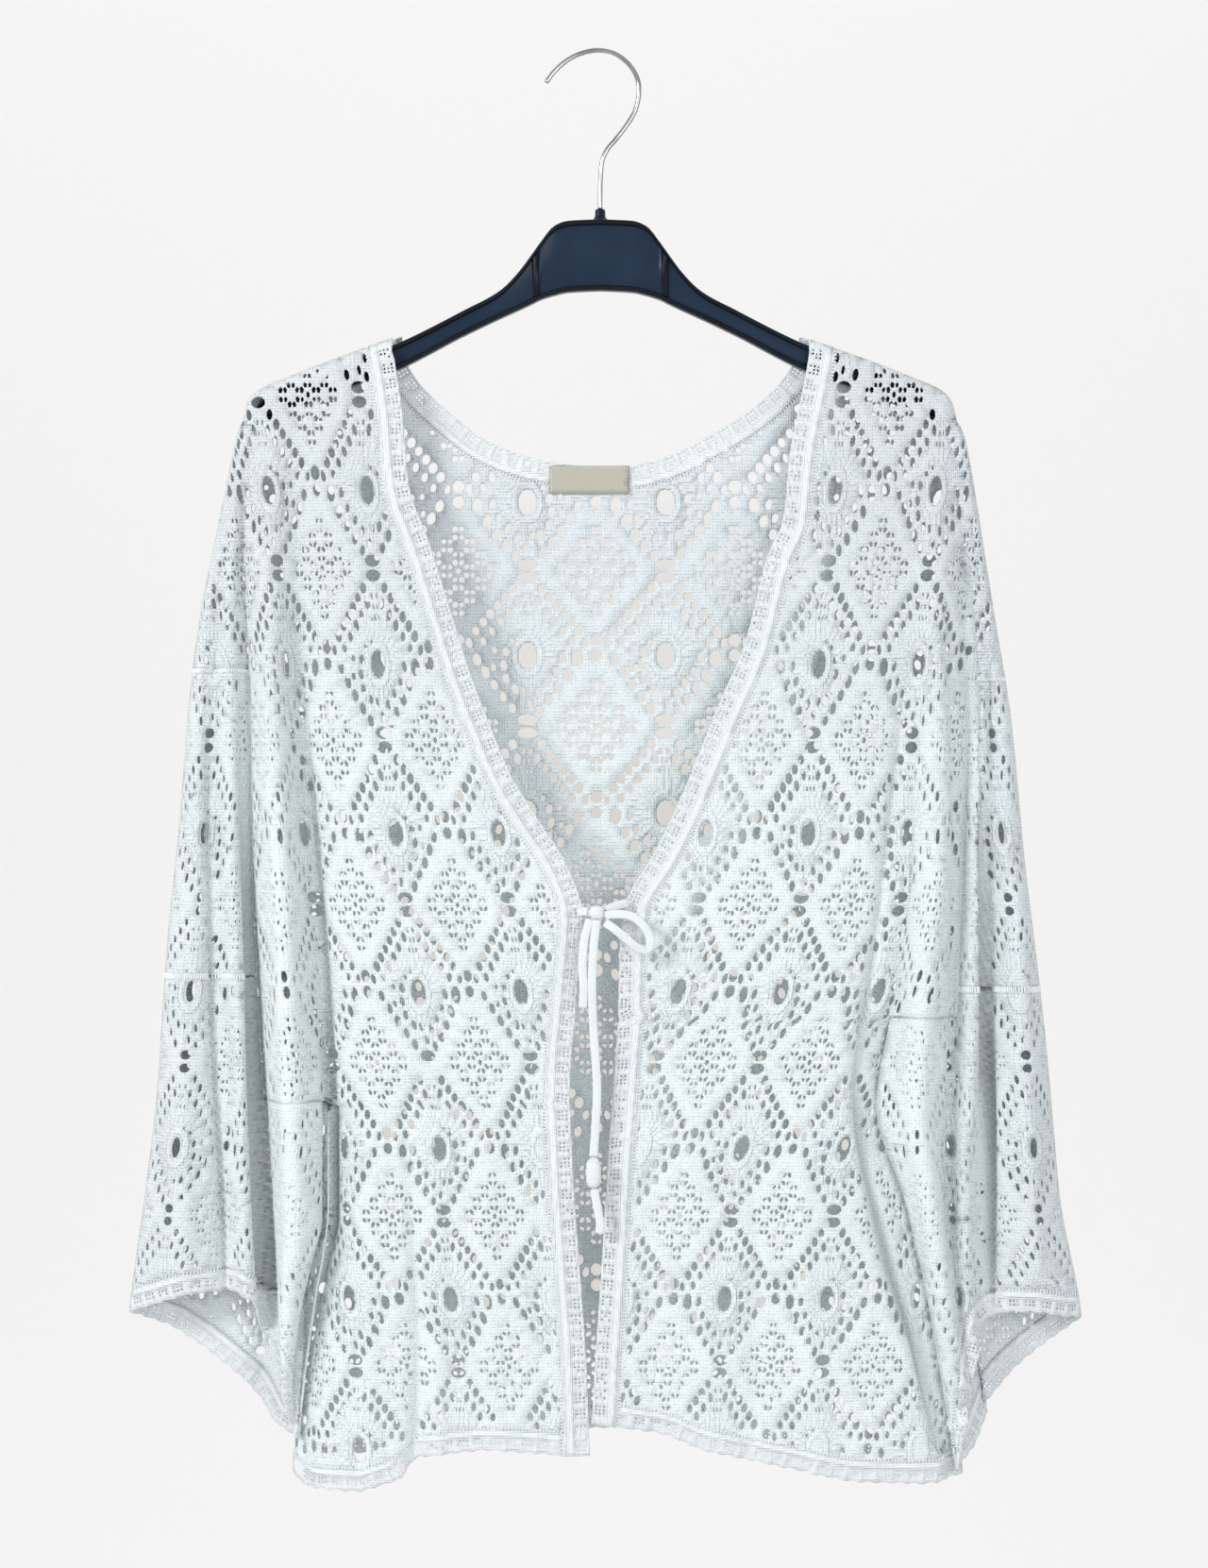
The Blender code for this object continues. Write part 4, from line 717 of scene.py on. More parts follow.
def crease_shift(place, creases):
    """How far each point is moved by the creases, each a soft line that changes along its length."""
    shift = np.zeros(len(place))
    flat = place[:, [0, 2]]
    for crease in creases:
        crease = np.array(crease, float)
        best = np.full(len(place), np.inf)
        add = np.zeros(len(place))
        for start, end in zip(crease[:-1], crease[1:]):
            run = end[:2] - start[:2]
            t = np.clip((flat - start[:2]) @ run / (run @ run), 0, 1)
            apart = np.linalg.norm(flat - start[:2] - t[:, None] * run, axis=1)
            ease = t * t * (3 - 2 * t)
            width = start[2] + (end[2] - start[2]) * t
            depth = start[3] + (end[3] - start[3]) * ease
            here = apart < best
            best = np.where(here, apart, best)
            add = np.where(here, depth * np.exp(-((apart / width) ** 2) * CREASE_FADE), add)
        shift += add
    return shift


def gathered(holes, drape):
    """The holes as the hung cloth leaves them: shut in a deep trough and narrowed where it is bunched."""
    if not holes:
        return holes
    middle = np.array([hole.mean(axis=0) for hole in holes])
    place = drape.places(middle)
    depth, bunch = crease_shift(place, drape.creases), crease_shift(place, drape.bunched)
    return [
        m + (hole - m) * (BUNCHED[1], 1.0) if b > BUNCHED[0] else hole
        for hole, m, d, b in zip(holes, middle, depth, bunch) if d > TROUGH
    ]


def fold_points(side, z):
    """Edge, ridge, valley, ridge, armhole groove, roll and body groove at a height."""
    columns = (read(side["folds"], k, z) for k in range(1, 11))
    edge, valley, groove, inner, y1, y2, y3, y4, y5, y6 = columns
    return (
        (edge, 0.0),
        ((edge * 0.55 + valley * 0.45), y1),
        (valley, y2),
        ((valley + groove) / 2, y3),
        (groove, y4),
        ((groove + inner) / 2, y5),
        (inner, y6),
    )


def front_body_section(side):
    """The front from the outer edge, or below the underarm from the side seam."""

    def section(z):
        mark, seam_x, near, middle = (read(side["body"], k, z) for k in (1, 2, 3, 4))
        toward = -side["sign"]
        inward = [(0.35 * mark, middle), (toward * FRONT_MIDDLE, middle)]
        after = (toward * RUN_ON, middle)
        if z > side["underarm"]:
            folds = fold_points(side, z)
            ridge = (folds[INNER][0] + toward * SIDE_RIDGE_INWARD, near)
            before = (folds[1][0], -folds[1][1])
            crease = (*FOLD_CREASE, 0.0, 0.0, 0.0)
            return bend((*folds, ridge, *inward), crease, before, after), INNER * STEPS
        turn = (seam_x + toward * SIDE_TURN, 0.35 * near)
        ridge = (seam_x + toward * SIDE_RIDGE_INWARD, near)
        before = (turn[0], -turn[1])
        line = bend(((seam_x, -SIDE_SEAM_SHIFT), turn, ridge, *inward), (0.0,) * 5, before, after)
        start = np.interp(toward * mark, toward * line[:, 0], np.arange(len(line)))
        return line, float(start)

    return section


def sleeve_front_section(side):
    """The front half of a sleeve, from its outer fold in to the body."""

    def section(z):
        folds = fold_points(side, z)
        before = (folds[1][0], -folds[1][1])
        after = (folds[ROLL][0], folds[INNER][1] + 10)
        return bend(folds, FOLD_CREASE, before, after), 0

    return section


def back_edge_points(side, z):
    """Edge, ridge, valley and ridge of the back half of a sleeve or shoulder."""
    edge, valley, groove = (read(side["folds"], k, z) for k in (1, 2, 3))
    deep = min(1.0, max(0.0, (BACK_FILLS[0] - z) / BACK_FILLS[1]))
    return (
        (edge, 0.0),
        (edge * 0.6 + valley * 0.4, 8 + deep * 6),
        (valley * 0.75 + groove * 0.25, 8 + deep * 3),
        (groove, 9 + deep * (BACK_RIDGE - 7)),
    )


def back_body_section(side):
    """Half of the back, from its outer edge or side seam in to the middle."""

    def section(z):
        mark, seam_x, near, middle = (read(side["body"], k, z) for k in (1, 2, 5, 6))
        toward = -side["sign"]
        inward = [(0.4 * mark, middle), (0.0, middle)]
        if z > side["underarm"]:
            outer = back_edge_points(side, z)
            pull = min(1.0, max(0.0, (BACK_PULLED_FROM - z) / (BACK_PULLED_FROM - side["underarm"])))
            valley = (mark, (1 - pull) * (near - 2) + pull * 4.0)
            points = (*outer, valley, (mark + toward * BACK_RIDGE_WIDER * SIDE_RIDGE_INWARD, near), *inward)
            before = (outer[1][0], -outer[1][1])
        else:
            turn = (seam_x + toward * SIDE_TURN, 0.45 * near)
            ridge = (seam_x + toward * BACK_RIDGE_WIDER * SIDE_RIDGE_INWARD, near)
            points = ((seam_x, SIDE_SEAM_SHIFT), turn, ridge, *inward)
            before = (turn[0], -turn[1])
        return bend(points, (0.0,) * len(points), before, (toward * RUN_ON, middle))

    return section


def back_section(z):
    """The whole back at one height, from left to right, measured from its middle."""
    left, right = (back_body_section(side)(z) for side in SIDES)
    return np.concatenate([left, right[-2::-1]]), len(left) - 1


def sleeve_back_section(side):
    """The back half of a sleeve: the back's own cloth, and below the underarm a half tube."""

    def section(z):
        if z > side["underarm"]:
            return back_body_section(side)(z), 0
        outer = back_edge_points(side, z)
        folds = fold_points(side, z)
        away = side["sign"]
        inner_x, inner_y = folds[INNER]
        drop = min(1.0, (side["underarm"] - z) / INNER_OPENS)
        meet = (inner_x, (1 - drop) * 2.0 + drop * (inner_y + 4 * SEAM_GAP))
        points = (
            *outer[:3],
            (inner_x + away * INNER_TURNS[1], outer[3][1] - 3),
            (inner_x + away * INNER_TURNS[0], 3 - 4 * drop),
            meet,
        )
        before = (outer[1][0], -outer[1][1])
        after = (inner_x + away * INNER_TURNS[0], meet[1] - 14)
        return bend(points, (0.0,) * 6, before, after), 0

    return section


# ---------------------------------------------------------------- lace


def round_hole(x, z, wide, high, sides, turn=0.0):
    """An oval hole as a polygon round its middle."""
    angle = 2 * math.pi * (np.arange(sides) + 0.5) / sides
    ox, oz = wide / 2 * np.cos(angle), high / 2 * np.sin(angle)
    return np.stack(
        [x + ox * math.cos(turn) - oz * math.sin(turn), z + ox * math.sin(turn) + oz * math.cos(turn)], axis=1
    )


def star_holes(rng, small, bold=1.0):
    """The open star motif: a leaning grid of solid hubs with a pair of slits between each two."""
    holes = []
    step = np.array(STAR_STEP)
    for i in range(-3, 4):
        for j in range(-3, 4):
            hub = step * (i - j, i + j)
            for way in ((1, 1), (-1, 1)):
                run = step * way
                middle = hub + run / 2
                angle = math.atan2(run[1], run[0])
                across = STAR_PAIR * np.array((-math.sin(angle), math.cos(angle)))
                for x, z in (middle + across, middle - across):
                    if abs(x) / STAR_HALF[0] + abs(z) / STAR_HALF[1] > 1:
                        continue
                    grow = small * rng.uniform(*SLIT_SIZES)
                    tilt = angle + rng.uniform(-SLIT_TURN, SLIT_TURN)
                    holes.append(round_hole(x, z, STAR_SLIT[0] * grow, STAR_SLIT[1] * grow * bold, 5, tilt))
    holes.append(round_hole(0, 0, STAR_MIDDLE[0] * small, STAR_MIDDLE[1], 6))
    return holes


def oval_holes(rng, small, flip):
    """The oval motif and what stands between it and its neighbours."""
    holes = []
    for x, z, wide, high, both in OVAL_MOTIF:
        for hand in (1, -1) if both else (flip,):
            area = wide * high
            sides = 10 if area > LARGE_HOLE else 8 if area > MIDDLE_HOLE else 6
            grow = 1.0 if area > LARGE_HOLE else rng.uniform(*HOLE_SIZES)
            turn = 0.0 if area > STRAIGHT_HOLE else -hand * HOLE_LEAN
            high_too = high * grow * (1 + small) / 2
            holes.append(round_hole(hand * x, z, wide * small * grow, high_too, sides, turn))
    return holes


def lace(first, repeat, lean, rows, span, small, seed, bold=(1.0,)):
    """Every hole of the lace over a cloth, as polygons of (length, z) points."""
    rng = np.random.default_rng(seed)
    count = len(rows)
    middle = np.array([rows[0] + 2 * ROW_STEP, rows[0] + ROW_STEP, *rows, rows[-1] - ROW_STEP]) + OVAL_DROP
    number = np.arange(-2, count + 1)
    found = []
    for row in range(-1, count):
        for step in range(-REPEATS, REPEATS + 1):
            parts = [(0.0, 0.0, oval_holes(rng, small, 1 if row % 2 else -1))]
            parts.append((0.5, 0.5, star_holes(rng, small, bold[row] if 0 <= row < len(bold) else 1.0)))
            for shift_u, shift_v, holes in parts:
                for hole in holes:
                    u = step + shift_u + hole[:, 0] / CELL[0]
                    v = row + shift_v - hole[:, 1] / CELL[1]
                    z = np.interp(v, number, middle)
                    along_it = first + u * repeat + lean * (rows[1] - z)
                    if span[0] < along_it.mean() < span[1]:
                        found.append(np.stack([along_it, z], axis=1))
    return found


def lace_place(flat, first, repeat, lean, rows):
    """Where points of the cloth lie in the lace's repeat, counted in cells from an oval motif."""
    middle = np.array([rows[0] + ROW_STEP, *rows, rows[-1] - ROW_STEP]) + OVAL_DROP
    z = flat[:, 1]
    v = np.interp(-z, -middle, np.arange(-1, len(rows) + 1))
    return np.stack([(flat[:, 0] - first - lean * (rows[1] - z)) / repeat, v], axis=1)


def band_place(flat, path):
    """How far along a band and in from its free edge each point lies."""
    path = np.array(path, float)
    run = run_along(path)
    best, where = np.full(len(flat), np.inf), np.zeros(len(flat))
    for start, end, so_far in zip(path[:-1], path[1:], run):
        step = end - start
        t = np.clip(((flat - start) @ step) / max(step @ step, 1e-9), 0, 1)
        apart = np.linalg.norm(flat - start - t[:, None] * step, axis=1)
        where = np.where(apart < best, so_far + t * np.linalg.norm(step), where)
        best = np.minimum(best, apart)
    return np.stack([where, best], axis=1)


def openwork(path, inward, seed):
    """Squares of tiny holes along a band, one every pitch, set in from its free edge."""
    rng = np.random.default_rng(seed)
    path = np.array(path, float)
    run = run_along(path)

    def at(s):
        return np.array([np.interp(s, run, path[:, k]) for k in (0, 1)])

    holes = []
    for s in np.arange(SQUARE_PITCH, run[-1] - SQUARE_PITCH / 2, SQUARE_PITCH):
        ahead = at(s + 2) - at(s - 2)
        ahead /= max(np.linalg.norm(ahead), 1e-9)
        aside_way = inward * np.array([-ahead[1], ahead[0]])
        for i in (-1, 0, 1):
            for j in (-1, 0, 1):
                if rng.random() < TINY_HOLE_CLOSED:
                    continue
                grow = rng.uniform(*SLIT_SIZES)
                centre = at(s) + ahead * i * SQUARE_STEP[0] + aside_way * (SQUARE_INSET + j * SQUARE_STEP[1])
                holes.append(round_hole(*centre, TINY_HOLE[0] * grow, TINY_HOLE[1] * grow, 5))
    return holes


# ---------------------------------------------------------------- sheets


def inside(points, polygon):
    """Which of the points lie in the polygon, by counting crossings."""
    points, polygon = np.asarray(points, float), np.asarray(polygon, float)
    found = np.zeros(len(points), bool)
    for (ax, ay), (bx, by) in zip(polygon, np.roll(polygon, -1, axis=0)):
        if ay != by:
            cross = (ay > points[:, 1]) != (by > points[:, 1])
            found ^= cross & (points[:, 0] < (bx - ax) * (points[:, 1] - ay) / (by - ay) + ax)
    return found


def distance(points, polygon):
    """The distance of each point from the polygon's edge."""
    points, polygon = np.asarray(points, float), np.asarray(polygon, float)
    best = np.full(len(points), np.inf)
    for a, b in zip(polygon, np.roll(polygon, -1, axis=0)):
        d = b - a
        t = np.clip(((points - a) @ d) / max(d @ d, 1e-12), 0, 1)
        best = np.minimum(best, np.linalg.norm(points - a - t[:, None] * d, axis=1))
    return best


def fine(line, longest, closed=True):
    """The line with points added so that no stretch is longer than this."""
    line = np.asarray(line, float)
    after = np.roll(line, -1, axis=0) if closed else line[1:]
    out = []
    for a, b in zip(line, after):
        count = max(1, math.ceil(np.linalg.norm(b - a) / longest))
        out += [a + (b - a) * i / count for i in range(count)]
    if not closed:
        out.append(line[-1])
    return np.array(out)


def kept_holes(holes, outline, clear):
    """The holes that lie wholly inside the outline, clear of its edge."""
    if not holes:
        return []
    middle = np.array([h.mean(axis=0) for h in holes])
    reach = np.array([np.linalg.norm(h - m, axis=1).max() for h, m in zip(holes, middle)])
    apart = distance(middle, outline)
    near = inside(middle, outline) & (apart > clear)
    kept = []
    for hole, is_in, far, r in zip(holes, near, apart, reach):
        if is_in and (far > r + clear or distance(hole, outline).min() > clear):
            kept.append(hole)
    return kept


def free_points(outline, holes, spacing, chosen):
    """A staggered grid of points over the chosen part of the solid cloth, away from every edge."""
    low, high = outline.min(axis=0), outline.max(axis=0)
    grid = []
    for i, z in enumerate(np.arange(low[1], high[1], spacing * MESH_ROW)):
        c = np.arange(low[0] + (i % 2) * spacing / 2, high[0], spacing)
        grid.append(np.stack([c, np.full(len(c), z)], axis=1))
    grid = np.vstack(grid)
    grid = grid[inside(grid, outline)]
    grid = grid[chosen(grid)]
    grid = grid[distance(grid, outline) > spacing * EDGE_ROOM]
    if not holes:
        return grid
    rim = np.vstack(holes)
    keep = np.ones(len(grid), bool)
    table = {}
    for p in rim:
        table.setdefault((int(p[0] // SORTING), int(p[1] // SORTING)), []).append(p)
    for i, g in enumerate(grid):
        a, b = int(g[0] // SORTING), int(g[1] // SORTING)
        near = [p for da in (-1, 0, 1) for db in (-1, 0, 1) for p in table.get((a + da, b + db), ())]
        if near and np.linalg.norm(np.array(near) - g, axis=1).min() < spacing * HOLE_ROOM:
            keep[i] = False
    grid = grid[keep]
    for hole in holes:
        if np.ptp(hole[:, 1]) > spacing:
            near = np.abs(grid - hole.mean(axis=0)).max(axis=1) < BESIDE_HOLE
            grid = np.vstack([grid[~near], grid[near][~inside(grid[near], hole)]])
    return grid


def cut_sheet(outline, holes, spacing, drape):
    """Points and triangles of a flat cloth with its holes cut out, finer where it is creased."""

    def smooth_part(grid):
        return np.abs(crease_shift(drape.places(grid), drape.creases)) < FINE_FROM

    def creased_part(grid):
        return ~smooth_part(grid)

    outline = fine(outline, spacing * 0.8)
    holes = kept_holes(holes, outline, EDGE_CLEAR)
    loops = [outline, *holes]
    points = [Vector(p) for loop in loops for p in loop]
    edges, owner, first = [], [], 0
    for number, loop in enumerate(loops):
        n = len(loop)
        edges += [(first + i, first + (i + 1) % n) for i in range(n)]
        owner += [number] * n
        first += n
    grid = np.vstack([
        free_points(outline, holes, spacing, smooth_part),
        free_points(outline, holes, spacing * FINER, creased_part),
    ])
    points += [Vector(p) for p in grid]
    owner += [-1] * len(grid)
    flat, _, faces, source, *_ = delaunay_2d_cdt(points, edges, [], 0, 1e-6)
    flat = np.array([tuple(p) for p in flat])
    faces = np.array(faces)
    owner = np.array([owner[s[0]] if s else -1 for s in source])
    whose = owner[faces]
    same = (whose[:, 0] == whose[:, 1]) & (whose[:, 1] == whose[:, 2])
    drop = same & (whose[:, 0] > 0)
    rim = np.nonzero((whose == 0).all(axis=1) | (whose < 0).any(axis=1) & (whose == 0).any(axis=1))[0]
    drop[rim[~inside(flat[faces[rim]].mean(axis=1), outline)]] = True
    faces = faces[~drop]
    used, faces = np.unique(faces, return_inverse=True)
    return flat[used], faces.reshape(-1, 3), outline


def shell(name, place, way, faces, thick, maps):
    """Both faces of a sheet and the rim round each of its edges, as one closed mesh."""
    n = len(place)
    shift = way * thick / 2
    points = np.concatenate([place + shift, place - shift]) * MM
    ends = np.concatenate([faces[:, [0, 1]], faces[:, [1, 2]], faces[:, [2, 0]]])
    key = ends.min(axis=1).astype(np.int64) * n + ends.max(axis=1)
    _, first, count = np.unique(key, return_index=True, return_counts=True)
    a, b = ends[first[count == 1]].T
    triangles = np.concatenate([
        faces,
        faces[:, ::-1] + n,
        np.stack([b, a, a + n], axis=1),
        np.stack([b, a + n, b + n], axis=1),
    ]).astype(np.int32)
    mesh = bpy.data.meshes.new(name)
    mesh.vertices.add(len(points))
    mesh.vertices.foreach_set("co", points.astype(np.float32).ravel())
    mesh.loops.add(triangles.size)
    mesh.loops.foreach_set("vertex_index", triangles.ravel())
    mesh.polygons.add(len(triangles))
    mesh.polygons.foreach_set("loop_start", np.arange(0, triangles.size, 3, dtype=np.int32))
    mesh.polygons.foreach_set("use_smooth", np.ones(len(triangles), bool))
    for label, values in maps.items():
        layer = mesh.uv_layers.new(name=label)
        both = np.concatenate([values, values]).astype(np.float32)
        layer.data.foreach_set("uv", both[triangles.ravel()].ravel())
    mesh.update(calc_edges=True)
    mesh.validate()
    return mesh


def cloth_piece(node, drape, outline, holes, thick, material, repeat=None, edge=None, spacing=CLOTH_MESH,
    forward=0.0):
    """One cut piece of cloth laid on its drape, standing for its solid; its cut size is worked out but not used."""
    flat, faces, outline = cut_sheet(np.array(outline, float), gathered(holes, drape), spacing, drape)
    way = drape.outward(flat)
    if (way[:, 1] * drape.half).sum() < 0:
        way, faces = -way, faces[:, ::-1]
    place = drape.places(flat) + way * forward
    depth = crease_shift(place, drape.creases)
    place = place + way * depth[:, None]
    # The fold map holds each point's crease depth, which the painted fold shade reads
    maps = {"cloth": flat, "fold": np.stack([depth, depth], axis=1)}
    if repeat:
        maps["repeat"] = lace_place(flat, *repeat)
    if edge:
        maps["band"] = band_place(flat, edge)
    made = finished(f"{node}_cloth", shell(f"{node}_cloth", place, way, faces, thick, maps), material, node)
    a, b = outline, np.roll(outline, -1, axis=0)
    area = abs((a[:, 0] * b[:, 1] - b[:, 0] * a[:, 1]).sum()) / 2 * MM * MM
    size = np.ptp(outline, axis=0) * MM
    if area < BENT_BAND * size[0] * size[1]:
        half_round = np.linalg.norm(b - a, axis=1).sum() / 2 * MM
        wide = (half_round - math.sqrt(half_round**2 - 4 * area)) / 2
        size = (wide, area / wide)
    return made


def band_sheet(node, drape, outline, rim, hand, seed, material):
    """A narrow knitted band, with its squares of tiny holes along its rim."""
    holes = openwork(rim, hand, seed)
    cloth_piece(node, drape, outline, holes, BAND_SHEET, material["band"], edge=rim, spacing=BAND_MESH)


def finished(name, mesh, material, *nodes):
    """A piece with its material, standing for its nodes, in the one body."""
    mesh.materials.clear()
    mesh.materials.append(material[0])
    made = bpy.data.objects.new(name, mesh)
    bpy.context.scene.collection.objects.link(made)
    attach(made, "root")
    if nodes:
        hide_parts(*nodes)
    return made


# ---------------------------------------------------------------- the cut pieces


def scalloped(line):
    """A free edge with a shallow wave, one scallop to each square of its openwork."""
    fine_line = fine(line, 2.4, closed=False)
    run = run_along(fine_line)
    ends = np.clip(np.minimum(run, run[-1] - run) / 8, 0, 1)
    lift = SCALLOP * ends * (0.5 + 0.5 * np.cos(2 * math.pi * run / SQUARE_PITCH))
    return [(c, z + rise) for (c, z), rise in zip(fine_line, lift)]


def levels(top, bottom, step):
    """Even heights from one to the other, both ends with them."""
    count = max(1, round(abs(top - bottom) / step))
    return [top + (bottom - top) * i / count for i in range(count + 1)]


def mark_length(drape, mark, z):
    """The length at a fold line, or part of the way between two of them."""
    upper, lower, part = drape.between(z)
    above, below = (np.interp(mark * STEPS, np.arange(len(row[0])), row[0]) for row in (upper, lower))
    return float((1 - part) * above + part * below)


def back_armhole(side, drape, z):
    """The length at the seam between the back and its sleeve."""
    return drape.length(np.interp(-z, (-side["drop_seam"], -side["underarm"]), side["back_armhole"]), z)


def aside(line, shift):
    """A line of (length, z) points moved sideways, to the left of its direction."""
    line = np.array(line, float)
    ahead = np.vstack([line[1:], line[-1:]])
    behind = np.vstack([line[:1], line[:-1]])
    way = unit(ahead - behind)
    return [(c - shift * dz, z + shift * dc) for (c, z), (dc, dz) in zip(line, way)]


def curve_points(edge, spacing):
    """Points evenly along a smooth curve through (x, z) points."""
    edge = np.array(edge, float)
    run = run_along(edge)
    places = np.linspace(0, run[-1], round(run[-1] / spacing) + 1)
    return [tuple(smooth(run, edge[:, k], t) for k in (0, 1)) for t in places]


def hung_edge(drape, side, edge, width, spacing):
    """A free edge, and the seam of its band that lies a width inside it.

    Both start on the shoulder line and follow the cloth over the hanger's arm.
    """
    shoulder = side["shoulder"]
    deepest = WRAP_DEPTHS[-1] + 4
    line = [(x, z) for x, z in curve_points(edge, spacing) if z < along(shoulder, x) - deepest]
    free = [(drape.length(x, z), z) for x, z in line]
    band_seam = aside(free, width)
    seam_x = [drape.point(*p)[0] for p in band_seam]
    out = []
    for (x, _), path in ((line[0], free), ((seam_x[0], 0), band_seam)):
        first = path[0]
        top_x = x + side["sign"] * 1.5
        start = []
        for depth in WRAP_DEPTHS:
            z = along(shoulder, top_x) - depth
            if z > first[1] + 3:
                start.append((drape.length(top_x, z), z))
        out.append(start + path)
    return out


def shoulder_run(drape, shoulder, inner_x, sign):
    """The shoulder line outwards from x."""
    places = [p for p in curve_points(shoulder, EDGE_STEP) if sign * p[0] > sign * inner_x + 3]
    return [(drape.length(x, z), z - WRAP_DEPTHS[0]) for x, z in places]


def front_lines(side, drape):
    """The free edge, the band's seam, the hem's edge and the hem's seam of one front."""
    free, band_seam = hung_edge(drape, side, side["front_edge"], -FRONT_BAND, EDGE_STEP)
    start = read(side["body"], 2, FRONT_HEM_START)
    sign = side["sign"]
    corner_x = side["front_edge"][-1][0] + sign * FRONT_BAND
    low = []
    for x in np.linspace(start, corner_x, HEM_POINTS):
        z = along(side["hem"], x)
        low.append((drape.length(x, z) if x != start else drape.ends(z)[0] + 0.1, z))
    free[-1] = (free[-1][0], along(side["hem"], side["front_edge"][-1][0]))
    band_seam[-1] = (band_seam[-1][0], low[-1][1])
    upper = [(c, z + HEM_BAND) for c, z in low]
    for line in (low, upper):
        z = line[-1][1]
        line[-1] = (float(np.interp(-z, [-p[1] for p in band_seam], [p[0] for p in band_seam])), z)
    return {"free": free, "front_seam": band_seam, "hem": low, "hem_seam": upper}


def front_panel(side, drape, lines, material):
    """One front, with its drop shoulder, roll and side, its front band and its hem."""
    name, sign, arm = side["name"], side["sign"], side["underarm"] + UNDERARM_RISE
    drop = side["drop_seam"] + HALF_GAP
    free = aside(lines["front_seam"], UNDER_BAND)
    top = shoulder_run(drape, side["shoulder"], drape.point(*free[0])[0], sign)
    outline = [free[0], *top]
    outline += [(drape.ends(z)[0], z) for z in levels(SIDE_TOP, drop, SEAM_STEP)]
    outline += [(mark_length(drape, mark, drop), drop) for mark in np.arange(0.5, ARMHOLE, 0.5)]
    outline += [(mark_length(drape, ARMHOLE, z) + HALF_GAP, z) for z in levels(drop, arm, SEAM_STEP)]
    outline += [(mark_length(drape, mark, arm), arm) for mark in np.arange(ARMHOLE + 0.5, INNER + 0.1, 0.5)]
    hem = aside(lines["hem_seam"], -UNDER_BAND)
    outline += [(drape.ends(z)[0], z) for z in levels(side["underarm"], hem[0][1], SEAM_STEP)[:-1]]
    outline += hem + [p for p in free[:0:-1] if p[1] > hem[-1][1] + 2]
    repeat = (side["first_oval"], FRONT_REPEAT, side["lean"], OVAL_ROWS)
    holes = lace(*repeat, FRONT_SPAN, FRONT_SMALL, SEEDS["front"] + sign, FRONT_BOLD)
    cloth_piece(f"front_{name}", drape, outline, holes, CLOTH, material["lace"], repeat)

    seam_line = aside(lines["front_seam"], HALF_GAP)
    free = lines["free"]
    band_sheet(f"front_band_{name}", drape, seam_line + free[::-1], free, -1, SEEDS["front_band"] + sign, material)
    upper = [(c, z - HALF_GAP) for c, z in lines["hem_seam"]]
    low = list(lines["hem"])
    for line in (upper, low):
        line[-1] = (line[-1][0] - HALF_GAP, line[-1][1])
    hand = 1 if low[-1][0] > low[0][0] else -1
    band_sheet(f"hem_{name}", drape, upper + scalloped(low)[::-1], low, hand, SEEDS["front_hem"] + sign, material)


def front_seams(side, drape, lines, sewing):
    """The sewing of one front: along its band, above its hem and over its drop shoulder."""
    name = side["name"]
    seam(
        f"front_band_sewing_{name}",
        [(drape, lines["front_seam"], BAND_LIFT), (drape, lines["hem_seam"], BAND_LIFT)],
        sewing, **FINE_SEWING,
    )
    drop, arm = side["drop_seam"], side["underarm"] + UNDERARM_RISE
    over = [(mark_length(drape, mark, drop), drop) for mark in np.arange(0.25, ARMHOLE + 0.1, 0.25)]
    down = [(mark_length(drape, ARMHOLE, z), z) for z in levels(drop, arm, 8)]
    seam(f"armhole_sewing_{name}", [(drape, line, ARMHOLE_LIFT) for line in (over, down)], sewing)


def cuff_lines(drape, table, folds, inner_gap):
    """A cuff's lower edge and its seam to the sleeve, with points on each fold."""
    low = []
    for mark in levels(0, folds, 0.25):
        z = table[-1][1]
        for _ in range(6):
            part = mark_length(drape, mark, z) / drape.ends(z)[1]
            z = float(np.interp(part, [r[0] for r in table], [r[1] for r in table]))
        low.append((part * (drape.ends(z)[1] - inner_gap), z))
    seam_line = aside(low, CUFF_BAND)
    last = low[-1][1] + CUFF_BAND
    seam_line[0] = (0.0, low[0][1] + CUFF_BAND)
    seam_line[-1] = (drape.ends(last)[1] - inner_gap, last)
    middle = [p for p in seam_line[1:-1] if 3 < p[0] < seam_line[-1][0] - 1.5]
    return low, [seam_line[0], *middle, seam_line[-1]]


def sleeve_part(node, drape, rise, top, low, inner, holes, material, repeat):
    """One half of a sleeve's tier: down its outer fold, along its foot and up the seam."""
    outline = [(0.0, z) for z in levels(top, low[0][1], SEAM_STEP)[:-1]] + low + inner + rise
    across = [(rise[-1][0] * part, top) for part in (0.75, 0.5, 0.25)]
    cloth_piece(node, drape, outline + across, holes, CLOTH, material["lace"], repeat)


